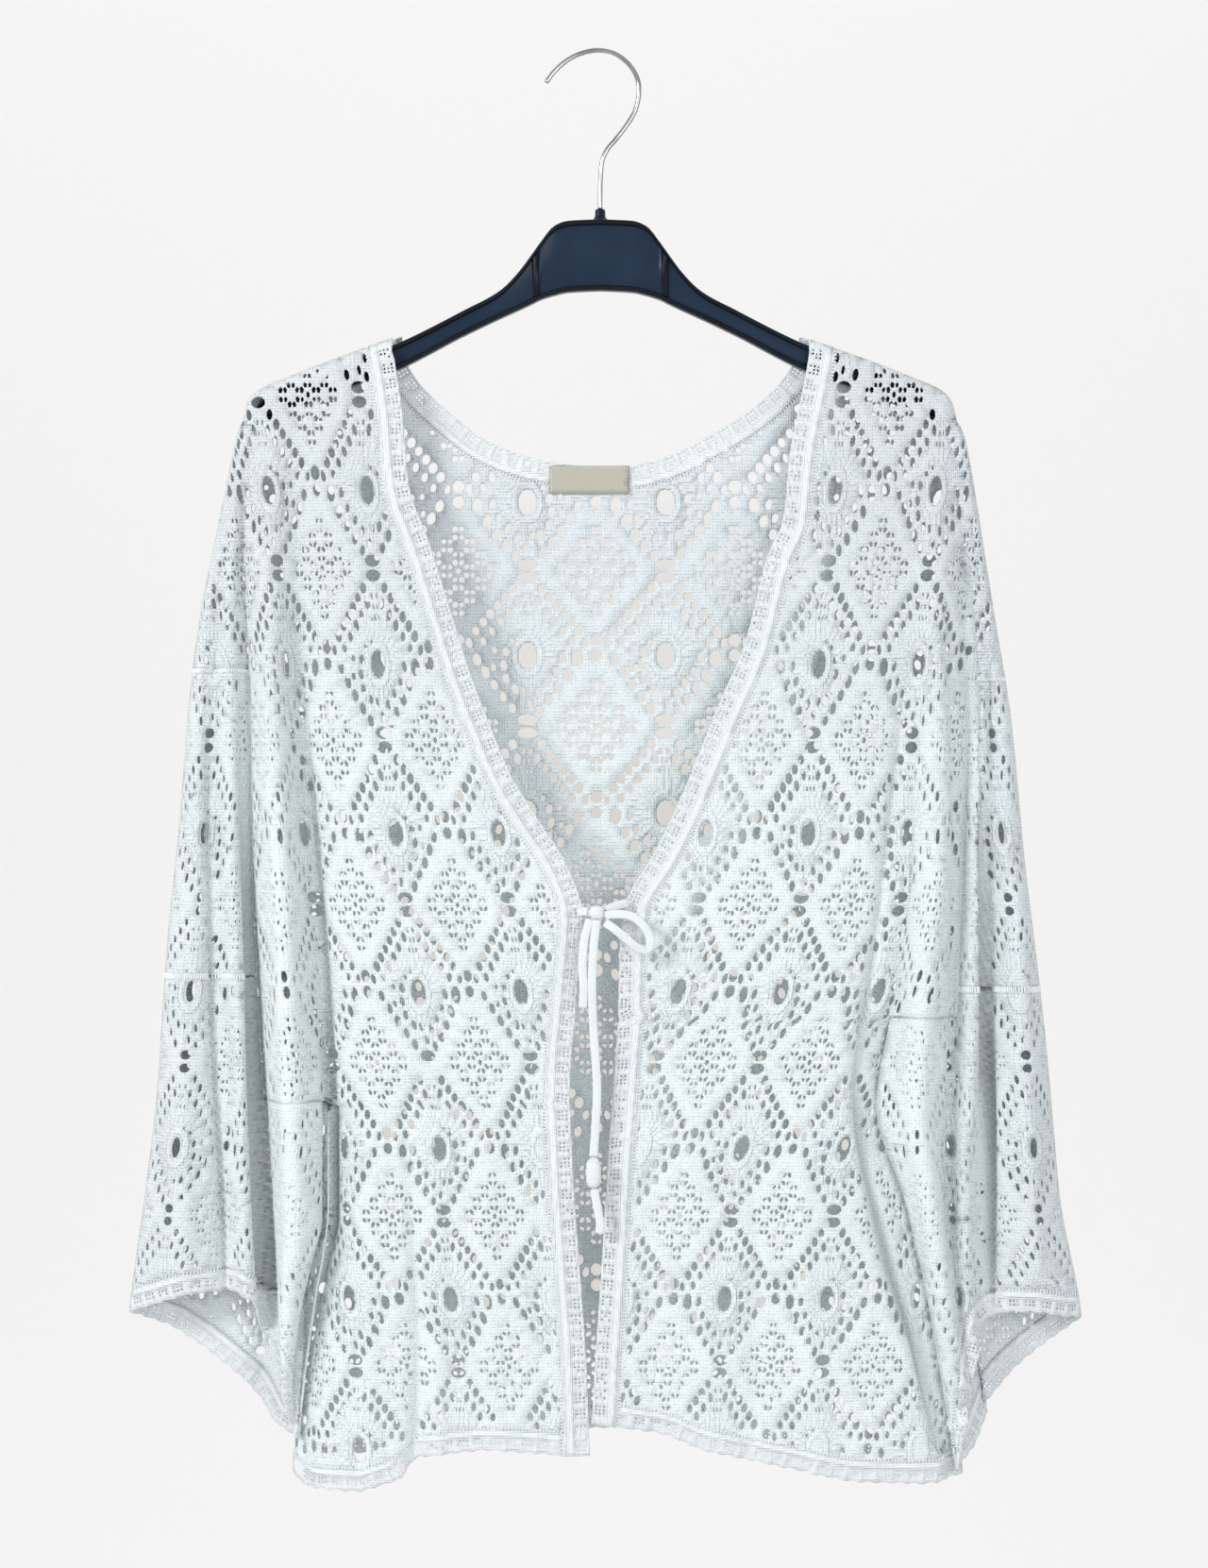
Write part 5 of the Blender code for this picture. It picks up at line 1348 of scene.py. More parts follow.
def sleeve(side, front, back, material):
    """The two tiers of a sleeve and its cuff, each as a front and a back half."""
    name = side["name"]
    drop, tier, arm = side["drop_seam"], side["tier_seam"], side["underarm"]
    repeat = (SLEEVE_FIRST_OVAL, FRONT_REPEAT, 0.0, OVAL_ROWS)

    def up_front(low, high):
        return [(mark_length(front, ARMHOLE, z) - HALF_GAP, z) for z in levels(low, high, SEAM_STEP)]

    def up_back(low, high):
        return [(back_armhole(side, back, z) - HALF_GAP, z) for z in levels(low, high, SEAM_STEP)]

    holes = lace(*repeat, SLEEVE_SPAN, SLEEVE_SMALL, SEEDS["sleeve"] + side["sign"])
    first, last = drop - HALF_GAP, tier + HALF_GAP
    foot = [(mark_length(front, mark, last), last) for mark in np.arange(0, ARMHOLE, 0.5)]
    sleeve_part(f"sleeve_{name}_upper_front", front, up_front(last, first), first, foot, [], holes, material, repeat)
    high = first - DROP_POINT
    foot = [(back_armhole(side, back, last) * part, last) for part in np.arange(0, 1, 0.1)]
    sleeve_part(f"sleeve_{name}_upper_back", back, up_back(last, high), high, foot, [], holes, material, repeat)

    first, roll_top = tier - HALF_GAP, arm + UNDERARM_RISE - 0.1
    over_roll = [(mark_length(front, mark, roll_top), roll_top) for mark in (5.9, 5.5, 5, 4.5)]
    rows = []
    for half, drape, folds, top, last, over, rise in (
        ("front", front, INNER, roll_top, -1, over_roll, up_front(roll_top, first)),
        ("back", back, INNER - 1, arm, None, [], up_back(arm + UNDERARM_RISE, first)),
    ):
        rim, seam_line = cuff_lines(drape, side[f"cuff_{half}"], folds, SEAM_GAP)
        low = aside(seam_line, HALF_GAP)
        low[0], low[-1] = (0.0, low[0][1]), seam_line[-1]
        inner = [(drape.ends(z)[1] - SEAM_GAP, z) for z in levels(low[-1][1], top, SEAM_STEP)[1:last]]
        node = f"sleeve_{name}_lower_{half}"
        sleeve_part(node, drape, rise, first, low, inner + over, holes, material, repeat)
        rows.append((drape, seam_line, BAND_LIFT))
        upper = aside(seam_line, -HALF_GAP)
        upper[0] = (0.0, upper[0][1])
        seed = SEEDS[f"cuff_{half}"] + side["sign"]
        band_sheet(f"cuff_{name}_{half}", drape, scalloped(rim) + upper[::-1], rim, 1, seed, material)
    sleeve_seams(side, front, back, rows, material["sewing"])


def sleeve_seams(side, front, back, cuff_rows, sewing):
    """The sewing of one sleeve: between its tiers, over its cuff and up the back of its armhole."""
    name, tier, arm = side["name"], side["tier_seam"], side["underarm"]
    over = [(mark_length(front, mark, tier), tier) for mark in np.arange(0, ARMHOLE + 0.1, 0.25)]
    join_z = levels(side["drop_seam"] - DROP_POINT, arm + UNDERARM_RISE, 8)
    behind = [(back_armhole(side, back, z), z) for z in join_z]
    reach = np.interp(tier, [p[1] for p in behind[::-1]], [p[0] for p in behind[::-1]])
    around = [(reach * part, tier) for part in np.arange(0, 1.01, 0.1)]
    tier_rows = [(front, over, TIER_LIFT), (back, around, TIER_LIFT)]
    seam(f"sleeve_tier_sewing_{name}", tier_rows, sewing, **TIER_SEWING)
    seam(f"back_armhole_sewing_{name}", [(back, behind, ARMHOLE_LIFT)], sewing)
    seam(f"cuff_sewing_{name}", cuff_rows, sewing, **FINE_SEWING)


def back_lines(drape):
    """The back's neck edge and neck seam, and its hem's edge, left to right."""
    middle = len(BACK_NECK_EDGE) // 2
    left = hung_edge(drape, LEFT, BACK_NECK_EDGE[: middle + 1], -NECK_BAND, EDGE_STEP)
    right = hung_edge(drape, RIGHT, BACK_NECK_EDGE[middle:][::-1], NECK_BAND, EDGE_STEP)
    neck = left[0][:-1] + right[0][::-1]
    neck_seam = left[1][:-1] + right[1][-2::-1]
    hem = []
    start, stop = (read(side["body"], 2, z) for side, z in zip(SIDES, BACK_HEM_START))
    for x in np.linspace(start, stop, BACK_HEM_POINTS):
        z = along(BACK_HEM, x)
        hem.append((drape.length(x, z), z))
    hem[0] = (drape.ends(hem[0][1])[0] + 0.2, hem[0][1])
    hem[-1] = (drape.ends(hem[-1][1])[1] - 0.2, hem[-1][1])
    return neck, neck_seam, hem


def back_panel(drape, material):
    """The back, its neck band and its hem, with their sewing."""
    neck, neck_seam, hem = back_lines(drape)
    below = aside(neck_seam, UNDER_BAND)
    hem_seam = [(c, z + HEM_BAND - UNDER_BAND) for c, z in hem]
    sides = []
    for side, end, inward, start in ((LEFT, 0, HALF_GAP, below[0]), (RIGHT, 1, -HALF_GAP, below[-1])):
        run = shoulder_run(drape, side["shoulder"], drape.point(*start)[0], side["sign"])
        drop, arm = side["drop_seam"] - DROP_POINT + HALF_GAP, side["underarm"] + UNDERARM_RISE
        run += [(drape.ends(z)[end], z) for z in levels(SIDE_TOP, drop, SEAM_STEP)]
        run += [(back_armhole(side, drape, z) + 2 * inward, z) for z in levels(drop, arm, SEAM_STEP)]
        corner = hem_seam[0][1] if end == 0 else hem_seam[-1][1]
        run += [(drape.ends(z)[end] + inward, z) for z in levels(side["underarm"], corner, SEAM_STEP)[:-1]]
        sides.append(run)
    outline = sides[0] + hem_seam + sides[1][::-1] + below[::-1]
    repeat = (BACK_FIRST_OVAL, BACK_REPEAT, 0.0, BACK_OVAL_ROWS)
    holes = lace(*repeat, BACK_SPAN, BACK_SMALL, SEEDS["back"], BACK_BOLD)
    cloth_piece("back", drape, outline, holes, CLOTH, material["lace"], repeat)
    above = aside(neck_seam, HALF_GAP)
    band_sheet("back_neck_band", drape, neck + above[::-1], neck, -1, SEEDS["neck_band"], material)
    hem_top = [(c, z + HEM_BAND - HALF_GAP) for c, z in hem]
    band_sheet("hem_back", drape, hem_top + scalloped(hem)[::-1], hem, 1, SEEDS["back_hem"], material)
    seam(
        "back_band_sewing",
        [(drape, line, lift) for line in (neck_seam, hem_top) for lift in (BAND_LIFT, -BAND_LIFT)],
        material["sewing"], **FINE_SEWING,
    )


def neck_label(drape, material):
    """The bare label sewn inside the back neck."""
    left, right, top, low = LABEL_PLACE
    outline = [(drape.length(x, top), top) for x in levels(left, right, 6)]
    outline += [(drape.length(x, low), low) for x in levels(right, left, 6)]
    cloth_piece("neck_label", drape, outline, [], LABEL, material["label"], spacing=LABEL_MESH, forward=LABEL_FORWARD)
    edge = [(drape.length(x, top - 1.4), top - 1.4) for x in levels(left + 1, right - 1, 4)]
    ends = [[(drape.length(x, z), z) for z in (top - 2, low + 1.5)] for x in (left + 1.5, right - 1.5)]
    rows = [(drape, line, -2.4) for line in (edge, *ends)]
    seam("label_sewing", rows, material["sewing"], **LABEL_SEWING)


# ---------------------------------------------------------------- tie, hook and hanger


def smooth_line(route, spacing):
    """Points along a smooth curve through the route's points."""
    points = [np.array(p, float) for p in route]
    chain = [2 * points[0] - points[1], *points, 2 * points[-1] - points[-2]]
    line = []
    for a, b, c, d in zip(chain, chain[1:], chain[2:], chain[3:]):
        count = max(1, round(np.linalg.norm(c - b) / spacing))
        for s in np.linspace(0, 1, count, endpoint=False):
            square, cube = 2 * a - 5 * b + 4 * c - d, 3 * b - a - 3 * c + d
            line.append(b + 0.5 * ((c - a) * s + square * s**2 + cube * s**3))
    line.append(points[-1])
    return np.array(line)


def tube_faces(rings, around):
    """Four-sided faces between rings of points."""
    faces = []
    for i in range(rings - 1):
        for j in range(around):
            a, b = i * around + j, i * around + (j + 1) % around
            faces.append((a, a + around, b + around, b))
    return faces


def closed_mesh(name, points, faces, flat=None, crisp=None, merged=False):
    """A closed mesh in metres, facing outwards, smooth but for edges crisper than an angle."""
    mesh = bpy.data.meshes.new(name)
    mesh.from_pydata([tuple(p * MM) for p in np.array(points)], [], faces)
    mesh.polygons.foreach_set("use_smooth", np.ones(len(faces), bool))
    if crisp:
        mesh.set_sharp_from_angle(angle=math.radians(crisp))
    if flat:
        layer = mesh.uv_layers.new(name="cloth")
        index = np.zeros(len(mesh.loops), np.int32)
        mesh.loops.foreach_get("vertex_index", index)
        layer.data.foreach_set("uv", np.array(flat, np.float32)[index].ravel())
    work = bmesh.new()
    work.from_mesh(mesh)
    if merged:
        bmesh.ops.remove_doubles(work, verts=work.verts, dist=1e-6)
    bmesh.ops.recalc_face_normals(work, faces=work.faces)
    work.to_mesh(mesh)
    work.free()
    return mesh


def swept(name, line, wide, thick, around=14, power=1.0):
    """A closed strap or wire along a line: its section is an oval, or squarer at a lower power."""
    face = np.array((0.0, -1.0, 0.0))
    line = np.asarray(line, float)
    way = unit(np.gradient(line, axis=0))
    out = unit(face - (way @ face)[:, None] * way)
    across = np.cross(way, out)
    angle = 2 * math.pi * np.arange(around) / around
    u = np.sign(np.cos(angle)) * np.abs(np.cos(angle)) ** power * wide / 2
    v = np.sign(np.sin(angle)) * np.abs(np.sin(angle)) ** power * thick / 2
    run = run_along(line)
    points, flat = [], []
    for i, place in enumerate(line):
        for j in range(around):
            points.append(place + across[i] * u[j] + out[i] * v[j])
            flat.append((run[i], u[j] + v[j]))
    faces = [(a, d, c, b) for a, b, c, d in tube_faces(len(line), around)]
    for at, order in ((0, -1), (len(line) - 1, 1)):
        centre = len(points)
        points.append(line[at] + way[at] * order * thick * 0.18)
        flat.append((run[at], 0))
        for j in range(around):
            a, b = at * around + j, at * around + (j + 1) % around
            faces.append((b, a, centre) if order < 0 else (a, b, centre))
    return closed_mesh(name, points, faces, flat)


def rounded_lump(name, centre, size, turns, rings=22, around=28):
    """A soft knot: a squarish ball with the strap's wraps pressed into it."""
    points, flat = [], []
    for i in range(rings + 1):
        tilt = math.pi * i / rings
        for j in range(around):
            turn = 2 * math.pi * j / around
            way = np.array((math.sin(tilt) * math.cos(turn), math.sin(tilt) * math.sin(turn), math.cos(tilt)))
            way /= (np.abs(way) ** KNOT_SQUARENESS).sum() ** (1 / KNOT_SQUARENESS)
            wrap = math.sin(turns * math.pi * way[2] + WRAP_LEAN * way[0])
            grow = 1 - WRAP_PRESS * max(0.0, wrap) ** 4 * math.sin(tilt)
            points.append(np.array(centre) + np.array(size) / 2 * way * grow)
            flat.append((turn * size[0] / 2, tilt * size[2] / 2))
    return closed_mesh(name, points, tube_faces(rings + 1, around), flat, merged=True)


def tie(material):
    """The flat strap that closes the front: two roots, a loop, two hanging ends and two knots."""
    band = material["strap"]
    knot = finished("tie_wrapped_knot", rounded_lump("tie_wrapped_knot", *KNOT), band, "tie_knot")
    end = finished("tie_end_wraps", rounded_lump("tie_end_wraps", *END_KNOT), band, "tie_end_knot")
    made = {}
    for name, route in TIE_STRAPS:
        line = smooth_line(route, 1.5)
        mesh = swept(f"{name}_strap", line, *STRAP, power=STRAP_SQUARENESS)
        made[name] = (finished(f"{name}_strap", mesh, band, name), line)
    for name, (piece, line) in made.items():
        length = float(np.linalg.norm(np.diff(line, axis=0), axis=1).sum()) * MM
        if length < SHORT_CORD:
            continue


def hook(material):
    """The bright wire hook with its rounded tip."""
    line = smooth_line([(x, 0.0, z) for x, z in HOOK_ROUTE], 1.2)
    mesh = swept("hook_bright_wire", line, HOOK_WIRE, HOOK_WIRE, 24)
    return finished("hook_bright_wire", mesh, material["wire"], "hook_wire")


def hanger_ring(half, web, rim, top, low):
    """The I-section's corners, each rim rounded over."""
    soft = 0.75
    outer = [
        (half - 1.9, top), (half - 1.1, top - 0.15), (half - 0.35, top - 0.7), (half, top - 1.5),
        (half, top - rim + soft), (half - 0.3, top - rim + 0.15), (half - 1.0, top - rim - 0.1),
        (web + 0.7, top - rim - 0.35), (web + 0.15, top - rim - 0.7), (web, top - rim - 1.3),
    ]
    foot = [(y, top + low - z) for y, z in outer[::-1]]
    side = outer + foot
    return side + [(-y, z) for y, z in side[::-1]]


def capped(name, points, around, crisp):
    """Rings of points closed into a moulding with a flat cap at each end."""
    last = len(points) - 1
    caps = [tuple(range(around)), tuple(range(last, last - around, -1))]
    return closed_mesh(name, points, tube_faces(len(points) // around, around) + caps, crisp=crisp)


def hanger_mesh():
    """The moulded arm: an I-beam from tip to tip with two upright ribs in its web."""
    reach = [row[0] for row in HANGER_SECTIONS]
    ribs = [
        (RIB_AT[0] - 0.8, 0.0), (RIB_AT[0] - 0.3, 0.5), (RIB_AT[0], 1.0), (RIB_AT[1], 1.0), (RIB_AT[1] + 0.3, 0.5),
        (RIB_AT[1] + 0.8, 0.0),
    ]
    plain = [(r, 0.0) for r in np.arange(0, reach[-1], HANGER_STEP) if not RIB_AT[0] - 1.5 < r < RIB_AT[1] + 1.5]
    stations = sorted(plain + ribs + [(reach[-1] - 0.6, 0.0), (reach[-1], 0.0)])
    tops, lows = [row[1] for row in HANGER_SECTIONS], [row[2] for row in HANGER_SECTIONS]
    rows = []
    for r, fill in stations:
        rows.append((r, fill, smooth(reach, tops, r), smooth(reach, lows, r)))
    rows = [(-r, *rest) for r, *rest in rows[:0:-1]] + rows
    points, half = [], HANGER_DEPTH / 2
    for r, fill, top, low in rows:
        web = HANGER_WEB / 2 + fill * (half - HANGER_SKIN - HANGER_WEB / 2)
        ring = hanger_ring(half, min(web, half - 1.2), min(HANGER_RIM, (top - low) / 3), top, low)
        points += [(HANGER_CENTRE + r, y, z) for y, z in ring]
    return capped("hanger_moulded_arm", points, len(ring), 50)


def boss_mesh():
    """The moulded boss that the hook's wire goes into, with a rolled lip."""
    turns = 2 * math.pi * np.arange(BOSS_AROUND) / BOSS_AROUND
    points = [
        (HANGER_CENTRE + radius * math.cos(turn), radius * math.sin(turn), z)
        for radius, z in BOSS_RINGS for turn in turns
    ]
    return capped("hanger_boss", points, BOSS_AROUND, 40)


# ---------------------------------------------------------------- sewing


def stitch_tree():
    """A round-ended stitch on every point, lying the way that the point says."""
    tree = bpy.data.node_groups.new("stitches of a seam", "GeometryNodeTree")
    tree.interface.new_socket("Geometry", in_out="INPUT", socket_type="NodeSocketGeometry")
    sizes = {
        name: tree.interface.new_socket(name, in_out="INPUT", socket_type="NodeSocketFloat")
        for name in ("Stitch length", "Thread width")
    }
    yarn = tree.interface.new_socket("Yarn", in_out="INPUT", socket_type="NodeSocketMaterial")
    tree.interface.new_socket("Geometry", in_out="OUTPUT", socket_type="NodeSocketGeometry")
    add, join = tree.nodes.new, tree.links.new
    given, result = add("NodeGroupInput"), add("NodeGroupOutput")
    bead = add("GeometryNodeMeshUVSphere")
    for key, value in STITCH_BEAD:
        bead.inputs[key].default_value = value
    size = add("ShaderNodeCombineXYZ")
    for key, axis in (("Thread width", "X"), ("Thread width", "Y"), ("Stitch length", "Z")):
        join(given.outputs[key], size.inputs[axis])
    way = add("GeometryNodeInputNamedAttribute")
    way.data_type = "FLOAT_VECTOR"
    way.inputs["Name"].default_value = "way"
    turn = add("FunctionNodeAlignRotationToVector")
    turn.axis = "Z"
    join(way.outputs["Attribute"], turn.inputs["Vector"])
    place = add("GeometryNodeInstanceOnPoints")
    join(given.outputs["Geometry"], place.inputs["Points"])
    join(bead.outputs["Mesh"], place.inputs["Instance"])
    join(turn.outputs["Rotation"], place.inputs["Rotation"])
    join(size.outputs["Vector"], place.inputs["Scale"])
    real = add("GeometryNodeRealizeInstances")
    join(place.outputs["Instances"], real.inputs["Geometry"])
    smooth_it = add("GeometryNodeSetShadeSmooth")
    join(real.outputs["Geometry"], smooth_it.inputs["Geometry"])
    paint = add("GeometryNodeSetMaterial")
    join(smooth_it.outputs["Geometry"], paint.inputs["Geometry"])
    join(given.outputs["Yarn"], paint.inputs["Material"])
    join(paint.outputs["Geometry"], result.inputs["Geometry"])
    return tree, sizes, yarn


def seam(name, rows, sewing, spacing=1.3, across=3.4, thread=1.0, lean=0.0):
    """One plain mesh of close stitches across a seam. A row is a drape, its line and a lift out of the cloth."""
    (tree, sizes, yarn), material = sewing
    spots, ways = [], []
    for drape, line, lift in rows:
        line = np.array(line, float)
        run = run_along(line)
        at = np.arange(spacing / 2, run[-1], spacing)
        middle = np.stack([np.interp(at, run, line[:, k]) for k in (0, 1)], axis=1)
        after, before = (
            np.stack([np.interp(at + reach, run, line[:, k]) for k in (0, 1)], axis=1) for reach in (1, -1)
        )
        ahead = unit(after - before)
        over = np.stack([-ahead[:, 1], ahead[:, 0]], axis=1) * math.cos(lean) + ahead * math.sin(lean)
        outward = drape.outward(middle)
        outward *= np.where((outward[:, 1] * drape.half).sum() < 0, -1, 1)
        ends = [creased(drape.places(middle + over * reach), outward, drape.creases) for reach in (-1, 1)]
        spots.append((ends[0] + ends[1]) / 2 + outward * lift)
        ways.append(ends[1] - ends[0])
    mesh = bpy.data.meshes.new(name)
    mesh.from_pydata([tuple(p) for p in np.vstack(spots) * MM], [], [])
    mesh.attributes.new("way", "FLOAT_VECTOR", "POINT").data.foreach_set("vector", np.vstack(ways).ravel())
    guide = bpy.data.objects.new(name, mesh)
    bpy.context.scene.collection.objects.link(guide)
    run = guide.modifiers.new("stitches", "NODES")
    run.node_group = tree
    run[sizes["Stitch length"].identifier] = across * MM
    run[sizes["Thread width"].identifier] = thread * MM
    run[yarn.identifier] = material[0]
    sewn = bpy.data.meshes.new_from_object(guide.evaluated_get(bpy.context.evaluated_depsgraph_get()))
    sewn.name = name
    guide.modifiers.remove(run)
    bpy.data.objects.remove(guide, do_unlink=True)
    return finished(name, sewn, material)


# ---------------------------------------------------------------- finishes


def finish(name, slot, colour, roughness, metallic=0.0, sheen=0.0, coat=0.0, through=0.0):
    """A material and its slot, its plain values set on the shader, and the ways to add nodes to it."""
    made = bpy.data.materials.new(name)
    made.use_nodes = True
    wiring = Wiring(made)
    for key, value in (
        ("Base Color", (*colour, 1)),
        ("Roughness", roughness),
        ("Metallic", metallic),
        ("Sheen Weight", sheen),
        ("Sheen Roughness", 0.5),
        ("Coat Weight", coat),
        ("Coat Roughness", 0.12),
        ("Subsurface Weight", through),
        ("Subsurface Radius", (1.0, 1.0, 1.0)),
        ("Subsurface Scale", LIGHT_REACH * MM),
        ("Specular IOR Level", 0.25 if metallic == 0 and coat == 0 else 0.5),
    ):
        wiring.shader.inputs[key].default_value = value
    return (made, slot), wiring


class Wiring:
    """Short ways to add nodes to one material."""

    def __init__(self, material):
        self.tree = material.node_tree
        self.shader = self.tree.nodes["Principled BSDF"]

    def show(self, colour, normal=None, roughness=None):
        """Joins what the nodes make to the shader."""
        for key, value in (("Base Color", colour), ("Normal", normal), ("Roughness", roughness)):
            if value is not None:
                self.join(value, self.shader.inputs[key])

    def node(self, kind, **settings):
        made = self.tree.nodes.new(kind)
        for key, value in settings.items():
            setattr(made, key, value)
        return made

    def join(self, start, end):
        self.tree.links.new(start, end)

    def split(self, vector):
        made = self.node("ShaderNodeSeparateXYZ")
        self.join(vector, made.inputs[0])
        return made.outputs

    def object_place(self):
        return self.node("ShaderNodeTexCoord").outputs["Object"]

    def flat_place(self, name):
        return self.node("ShaderNodeUVMap", uv_map=name).outputs["UV"]

    def times(self, first, second):
        return self.math("MULTIPLY", first, second)

    def plus(self, first, second):
        return self.math("ADD", first, second)

    def scaled(self, value, by, more):
        """The value times one number, plus another."""
        return self.math("MULTIPLY_ADD", value, by, more)

    def away(self, value, middle=0.0):
        """How far the value is from the middle, on either side."""
        return self.math("ABSOLUTE", self.math("SUBTRACT", value, middle) if middle else value)

    def clamped(self, value):
        return self.math("MAXIMUM", self.math("MINIMUM", value, 1.0), 0.0)

    def math(self, operation, *values):
        made = self.node("ShaderNodeMath", operation=operation)
        for socket, value in zip(made.inputs, values):
            if isinstance(value, (int, float)):
                socket.default_value = value
            else:
                self.join(value, socket)
        return made.outputs[0]

    def noise(self, vector, scale, detail=3.0, roughness=0.55):
        made = self.node("ShaderNodeTexNoise")
        made.inputs["Scale"].default_value = scale
        made.inputs["Detail"].default_value = detail
        made.inputs["Roughness"].default_value = roughness
        self.join(vector, made.inputs["Vector"])
        return made.outputs["Fac"]

    def wave(self, vector, period, direction="X", wobble=0.0):
        """Even waves across the cloth, a period apart."""
        made = self.node("ShaderNodeTexWave", bands_direction=direction)
        made.inputs["Scale"].default_value = 2 * math.pi / (20 * period)
        made.inputs["Distortion"].default_value = wobble
        made.inputs["Detail"].default_value = 1.0
        self.join(vector, made.inputs["Vector"])
        return made.outputs["Fac"]

    def blend(self, share, first, second):
        """The first colour where the share is 0, the second where it is 1."""
        made = self.node("ShaderNodeMix", data_type="RGBA")
        for socket, value in ((made.inputs["Factor"], share), (made.inputs["A"], first), (made.inputs["B"], second)):
            if isinstance(value, (int, float)):
                socket.default_value = value
            elif isinstance(value, tuple):
                socket.default_value = (*value, 1)
            else:
                self.join(value, socket)
        return made.outputs["Result"]

    def ramp(self, value, steps):
        """1 between the middle two steps, down to 0 at the outer two."""
        ends = []
        for low, high in ((steps[0], steps[1]), (steps[3], steps[2])):
            made = self.node("ShaderNodeMapRange", interpolation_type="SMOOTHSTEP")
            made.inputs["From Min"].default_value = low
            made.inputs["From Max"].default_value = high
            self.join(value, made.inputs["Value"])
            ends.append(made.outputs[0])
        return self.math("MULTIPLY", *ends)

    def bump(self, height, distance, normal=None):
        made = self.node("ShaderNodeBump")
        made.inputs["Distance"].default_value = distance
        self.join(height, made.inputs["Height"])
        if normal is not None:
            self.join(normal, made.inputs["Normal"])
        return made.outputs["Normal"]


def painted_hung_shade(wiring, colour):
    """Shade painted on the cloth as it hangs: darker deep in its folds, over the shoulders and round the sleeves'
    outer sides.
    """
    # Painted shade: deep troughs, the upper garment and the sleeves' outer sides are blended towards darker colours
    deep = wiring.ramp(wiring.times(wiring.split(wiring.flat_place("fold"))["X"], -1.0), PAINTED_FOLD_SHADE_DEPTHS)
    place = wiring.split(wiring.object_place())
    upper, outer = wiring.ramp(place["Z"], PAINTED_UPPER_SHADE_PART), wiring.ramp(wiring.away(place["X"]), PAINTED_OUTER_SHADE_PART)
    painted_upper_shade_share = wiring.math("MAXIMUM", wiring.times(upper, 0.85), wiring.times(outer, 0.5))
    colour = wiring.blend(painted_upper_shade_share, colour, PAINTED_UPPER_SHADE)
    return wiring.blend(wiring.times(deep, 0.6), colour, PAINTED_FOLD_SHADE)


def knitted(wiring, light, shade, wale, tall):
    """Fine knit in the cloth's own millimetres: wales, courses, fibre and a soft unevenness."""
    place = wiring.flat_place("cloth")
    wales = wiring.wave(place, wale, "X", 1.2)
    courses = wiring.wave(place, wale * 1.25, "Y", 1.2)
    knit = wiring.times(wales, courses)
    fibre = wiring.noise(place, 2.2, 3.0)
    uneven = wiring.noise(place, 0.03, 2.0)
    share = wiring.scaled(knit, -0.35, 0.55)
    share = wiring.plus(share, wiring.scaled(fibre, 0.5, -0.25))
    share = wiring.plus(share, wiring.scaled(uneven, 0.9, -0.45))
    normal = wiring.bump(fibre, tall * 0.5, wiring.bump(knit, tall))
    return wiring.blend(wiring.clamped(share), light, shade), normal


def lace_finish():
    """White cotton lace: knit grain, pleats that fan out round each oval with shade painted into their troughs, and
    its raised ring, under painted shade in the folds, shoulders and outer sleeves.
    """
    pair, wiring = finish("white_cotton_lace", "lace_cloth", (0.84, 0.88, 0.9), 0.92, sheen=0.2, through=0.32)
    colour, normal = knitted(wiring, LACE_LIGHT, LACE_SHADE, *LACE_KNIT)
    place = wiring.split(wiring.flat_place("repeat"))
    x, z = (
        wiring.times(wiring.math("SUBTRACT", wiring.math("FRACT", wiring.plus(place[axis], 10.5)), 0.5), size)
        for axis, size in (("X", CELL[0]), ("Y", -CELL[1]))
    )
    above = wiring.plus(z, OVAL_DROP)
    reach = [
        wiring.math("POWER", wiring.math("DIVIDE", wiring.away(value), half), 2.0)
        for value, half in ((x, RING[0]), (above, RING[1]))
    ]
    ring = wiring.math("SQRT", wiring.plus(*reach))
    angle = wiring.math("ARCTAN2", above, x)
    waver = wiring.times(wiring.noise(wiring.flat_place("cloth"), 0.11, 2.0), 9.0)
    turn = wiring.scaled(angle, PLEATS, waver)
    pleat = wiring.scaled(wiring.math("SINE", turn), 0.5, 0.5)
    pleat = wiring.times(pleat, wiring.ramp(ring, PLEAT_REACH))
    rim = wiring.ramp(ring, RING_RIM)
    lump = wiring.noise(wiring.flat_place("cloth"), 0.35, 2.0)
    height = wiring.plus(wiring.math("SUBTRACT", rim, wiring.times(pleat, 0.5)), lump)
    normal = wiring.bump(height, PLEAT_TALL, normal)
    # Painted shade: the pleats' troughs are darkened in the colour
    colour = wiring.blend(wiring.times(pleat, 0.16), colour, PLEAT_PAINTED_SHADE)
    # The painted fold, shoulder and outer-sleeve shade goes over the lace's colour
    wiring.show(painted_hung_shade(wiring, colour), normal)
    return pair


def band_finish():
    """The knitted bands: a strip of netted squares by the free edge and a smooth strip by the seam."""
    pair, wiring = finish("white_knit_band", "band_cloth", (0.86, 0.89, 0.91), 0.9, sheen=0.2, through=0.25)
    colour, normal = knitted(wiring, BAND_LIGHT, BAND_SHADE, *BAND_KNIT)
    place = wiring.split(wiring.flat_place("band"))
    step = wiring.math("DIVIDE", place["X"], SQUARE_PITCH)
    from_middle = wiring.away(wiring.math("FRACT", wiring.plus(step, 0.5)), 0.5)
    square = wiring.times(wiring.ramp(from_middle, SQUARE_PART), wiring.ramp(place["Y"], NETTED_STRIP))
    strip = wiring.ramp(place["Y"], SMOOTH_STRIP)
    ply = wiring.wave(place["Y"], 1.6)
    height = wiring.plus(strip, wiring.times(square, -0.4))
    height = wiring.plus(height, wiring.times(ply, 0.15))
    colour = wiring.blend(wiring.times(square, 0.25), colour, BAND_SHADE)
    colour = wiring.blend(wiring.times(strip, 0.35), colour, BAND_LIGHT)
    wiring.show(colour, wiring.bump(height, SQUARE_TALL, normal))
    return pair


